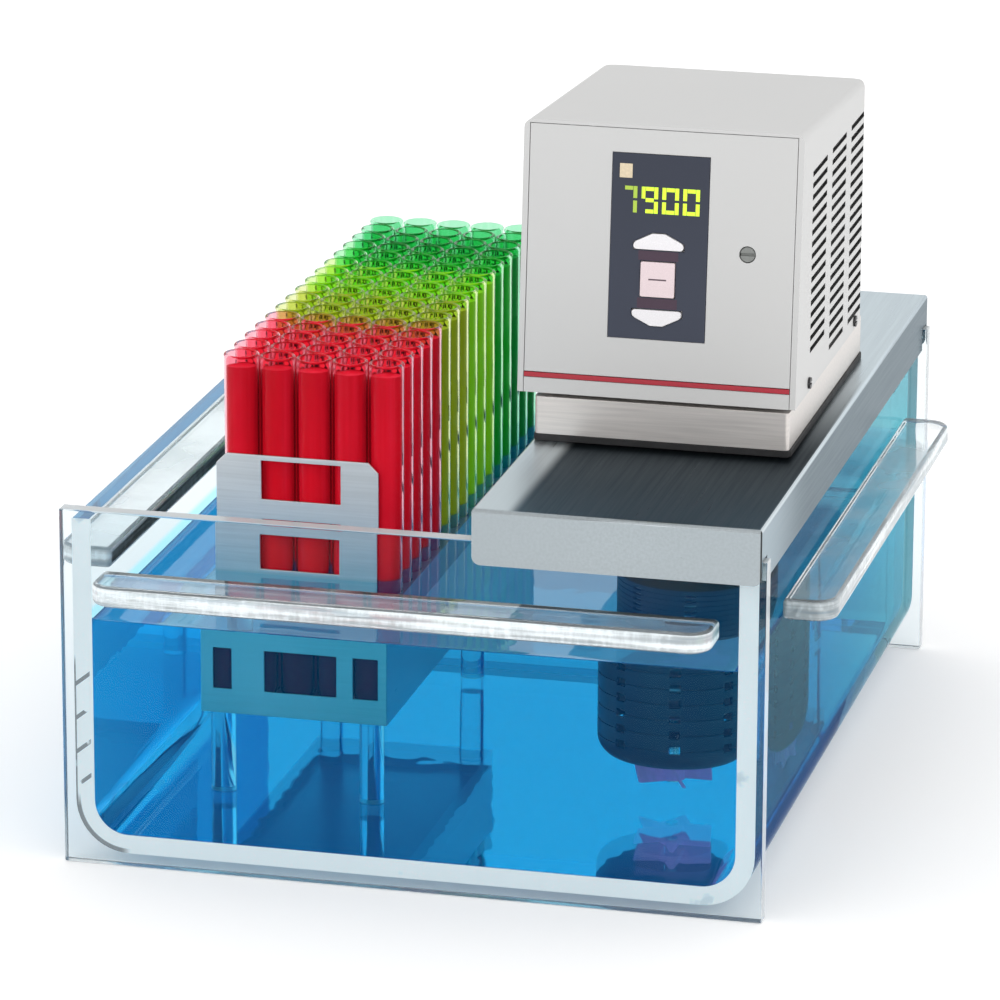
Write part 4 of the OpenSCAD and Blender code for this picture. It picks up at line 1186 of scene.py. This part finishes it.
class BATH_OT_head(Operator):
    """Finish the head's shell, base, stripe and fascia"""

    bl_idname = "bath.head"
    bl_label = "Head"

    def execute(self, context):
        sizes = sizes_of(context)
        for node in ("head_cover", "base_pan", "fascia"):
            softened(node, sizes.cut_edge, segments=2)
        softened("stripe_inlay", sizes.film_edge, segments=2)
        softened("rear_panel", sizes.cut_edge, segments=2)
        dress("cover_screws")
        return {"FINISHED"}


class BATH_OT_panel(Operator):
    """Finish the control panel, its keys, its read-out and the limit adjuster"""

    bl_idname = "bath.panel"
    bl_label = "Control panel"

    def execute(self, context):
        sizes = sizes_of(context)
        softened("control_panel", sizes.film_edge, segments=2)
        face = face_place(sizes)
        outward = face.col[2].xyz

        def upright(edge):
            return abs((edge.verts[1].co - edge.verts[0].co).normalized().dot(outward)) > 0.9

        ends = {"up_key": sizes.key_end, "down_key": sizes.key_end, "set_key": 2 * sizes.key_edge}
        for node, end in ends.items():
            softened(node, (end, upright), sizes.key_edge)
        make_key_print(sizes, face)
        softened("status_lamp", sizes.film_edge, segments=2)
        dress("display_segments", "adjuster_pot")
        softened("limit_adjuster", sizes.cut_edge)
        return {"FINISHED"}


class BATH_OT_rear(Operator):
    """Finish the mains inlet and the rocker switch"""

    bl_idname = "bath.rear"
    bl_label = "Inlet and switch"

    def execute(self, context):
        sizes = sizes_of(context)
        softened("mains_inlet", sizes.key_edge)
        softened("switch_frame", sizes.key_edge)
        make_rocker_print(sizes)
        softened("mains_switch", sizes.key_edge)
        softened("inlet_pins", sizes.cut_edge)
        return {"FINISHED"}


class BATH_OT_inside(Operator):
    """Finish what the head holds inside"""

    bl_idname = "bath.inside"
    bl_label = "Inside the head"

    def execute(self, context):
        dress(
            "control_board", "power_board", "board_posts", "transformer", "motor_body",
            "motor_rotor", "cooling_fan",
        )
        return {"FINISHED"}


class BATH_OT_pump(Operator):
    """Finish the immersed pump, heater and probes"""

    bl_idname = "bath.pump"
    bl_label = "Pump and heater"

    def execute(self, context):
        dress(
            "pump_deck", "shaft_column", "pump_shaft", "impeller", "pump_guard", "heater_coil",
            "temperature_probe", "float_stem", "level_float",
        )
        return {"FINISHED"}


class BATH_OT_rack(Operator):
    """Finish the tube rack"""

    bl_idname = "bath.rack"
    bl_label = "Rack"

    def execute(self, context):
        sizes = sizes_of(context)
        for node in ("rack_front_plate", "rack_rear_plate"):
            softened(
                node, sizes.cut_edge, segments=2, finish_name="rack_steel",
                flat_area=60 * MM * MM,
            )
        dress("rack_tier", "rack_shelf", "rack_sides", "rack_feet")
        return {"FINISHED"}


class BATH_OT_tubes(Operator):
    """Make the test tubes and their dyed samples"""

    bl_idname = "bath.tubes"
    bl_label = "Tubes and samples"

    def execute(self, context):
        sizes = sizes_of(context)
        inner, outer = make_tubes(sizes)
        make_samples(sizes, inner, outer)
        return {"FINISHED"}


# ---------- stage ----------


def make_camera(scene):
    """The camera, far off with a long lens, looking down on the front right corner."""
    data = bpy.data.cameras.new("camera")
    data.lens = CAMERA_LENS
    data.sensor_width = 36
    camera = bpy.data.objects.new("camera", data)
    camera.location = CAMERA_PLACE
    right = Vector(CAMERA_RIGHT).normalized()
    back = Vector(CAMERA_BACK).normalized()
    up = back.cross(right)
    camera.rotation_euler = Matrix((right, up, back)).transposed().to_euler()
    scene.collection.objects.link(camera)
    scene.camera = camera


def make_floor():
    """A plain pale floor that runs far beyond the view."""
    form = bmesh.new()
    bmesh.ops.create_grid(form, x_segments=1, y_segments=1, size=30)
    shader = finish("floor_paper")
    paper = shader.surface(
        Base_Color=shader.mix(shader.noise(3), grey(0.95), grey(0.96)),
        Roughness=0.9,
        Specular_IOR_Level=0.0,
        Emission_Color=grey(1.0),
        Emission_Strength=0.2,
    )
    floor = new_object("floor", form, paper)
    floor.location = (0, 0, -0.3 * MM)


def make_world(scene):
    """White studio walls, greyer high up and at the far end, which shade the steel."""
    world = bpy.data.worlds.new("studio")
    scene.world = world
    shader = Shader(world, "ShaderNodeOutputWorld")
    way = shader.node("ShaderNodeTexCoord", {}, {}, "Generated")
    wall = shader.span(way.part("Z"), 0.1, 0.8)
    front = shader.span(way.part("Y"), 0.2, -0.8)
    tone = shader.mix(wall, grey(1.2), grey(0.82)) + shader.mix(front, grey(0.0), grey(0.27))
    light = shader.node("ShaderNodeBackground", {}, {"Color": tone, "Strength": 1.0})
    shader.put(light)


def make_softbox(scene, name, place, aim, extent, power):
    data = bpy.data.lights.new(name, "AREA")
    data.size = extent
    data.energy = power
    box = bpy.data.objects.new(name, data)
    box.location = place
    box.rotation_euler = (Vector(aim) - Vector(place)).to_track_quat("-Z", "Y").to_euler()
    scene.collection.objects.link(box)


class BATH_OT_stage(Operator):
    """Set up the floor, the studio light and the camera"""

    bl_idname = "bath.stage"
    bl_label = "Stage"

    def execute(self, context):
        scene = context.scene
        scene.view_settings.view_transform = "Standard"
        make_camera(scene)
        make_floor()
        make_world(scene)
        make_softbox(scene, "right_softbox", (1.6, -0.4, 1.5), (0, 0, 0.15), 1.2, 3)
        return {"FINISHED"}


OPERATORS = (
    BATH_OT_finishes,
    BATH_OT_stage,
    BATH_OT_tank,
    BATH_OT_grips,
    BATH_OT_bridge,
    BATH_OT_plinth,
    BATH_OT_head,
    BATH_OT_panel,
    BATH_OT_rear,
    BATH_OT_inside,
    BATH_OT_pump,
    BATH_OT_rack,
    BATH_OT_tubes,
)


class BATH_PT_panel(Panel):
    """Lists the steps that dress the water bath"""

    bl_label = "Water Bath"
    bl_idname = "BATH_PT_panel"
    bl_space_type = "VIEW_3D"
    bl_region_type = "UI"
    bl_category = "Water Bath"

    def draw(self, context):
        for operator in OPERATORS:
            self.layout.operator(operator.bl_idname)
        for group in (context.scene.bath_sizes, context.scene.bath_colours):
            box = self.layout.box()
            for name in group.__annotations__:
                box.prop(group, name)


CLASSES = (BathSizes, BathColours, *OPERATORS, BATH_PT_panel)


def register():
    for each in CLASSES:
        bpy.utils.register_class(each)
    bpy.types.Scene.bath_sizes = PointerProperty(type=BathSizes)
    bpy.types.Scene.bath_colours = PointerProperty(type=BathColours)


def unregister():
    del bpy.types.Scene.bath_colours
    del bpy.types.Scene.bath_sizes
    for each in reversed(CLASSES):
        bpy.utils.unregister_class(each)


def main():
    register()
    for operator in OPERATORS:
        group, name = operator.bl_idname.split(".")
        getattr(getattr(bpy.ops, group), name)()


if __name__ == "__main__":
    main()
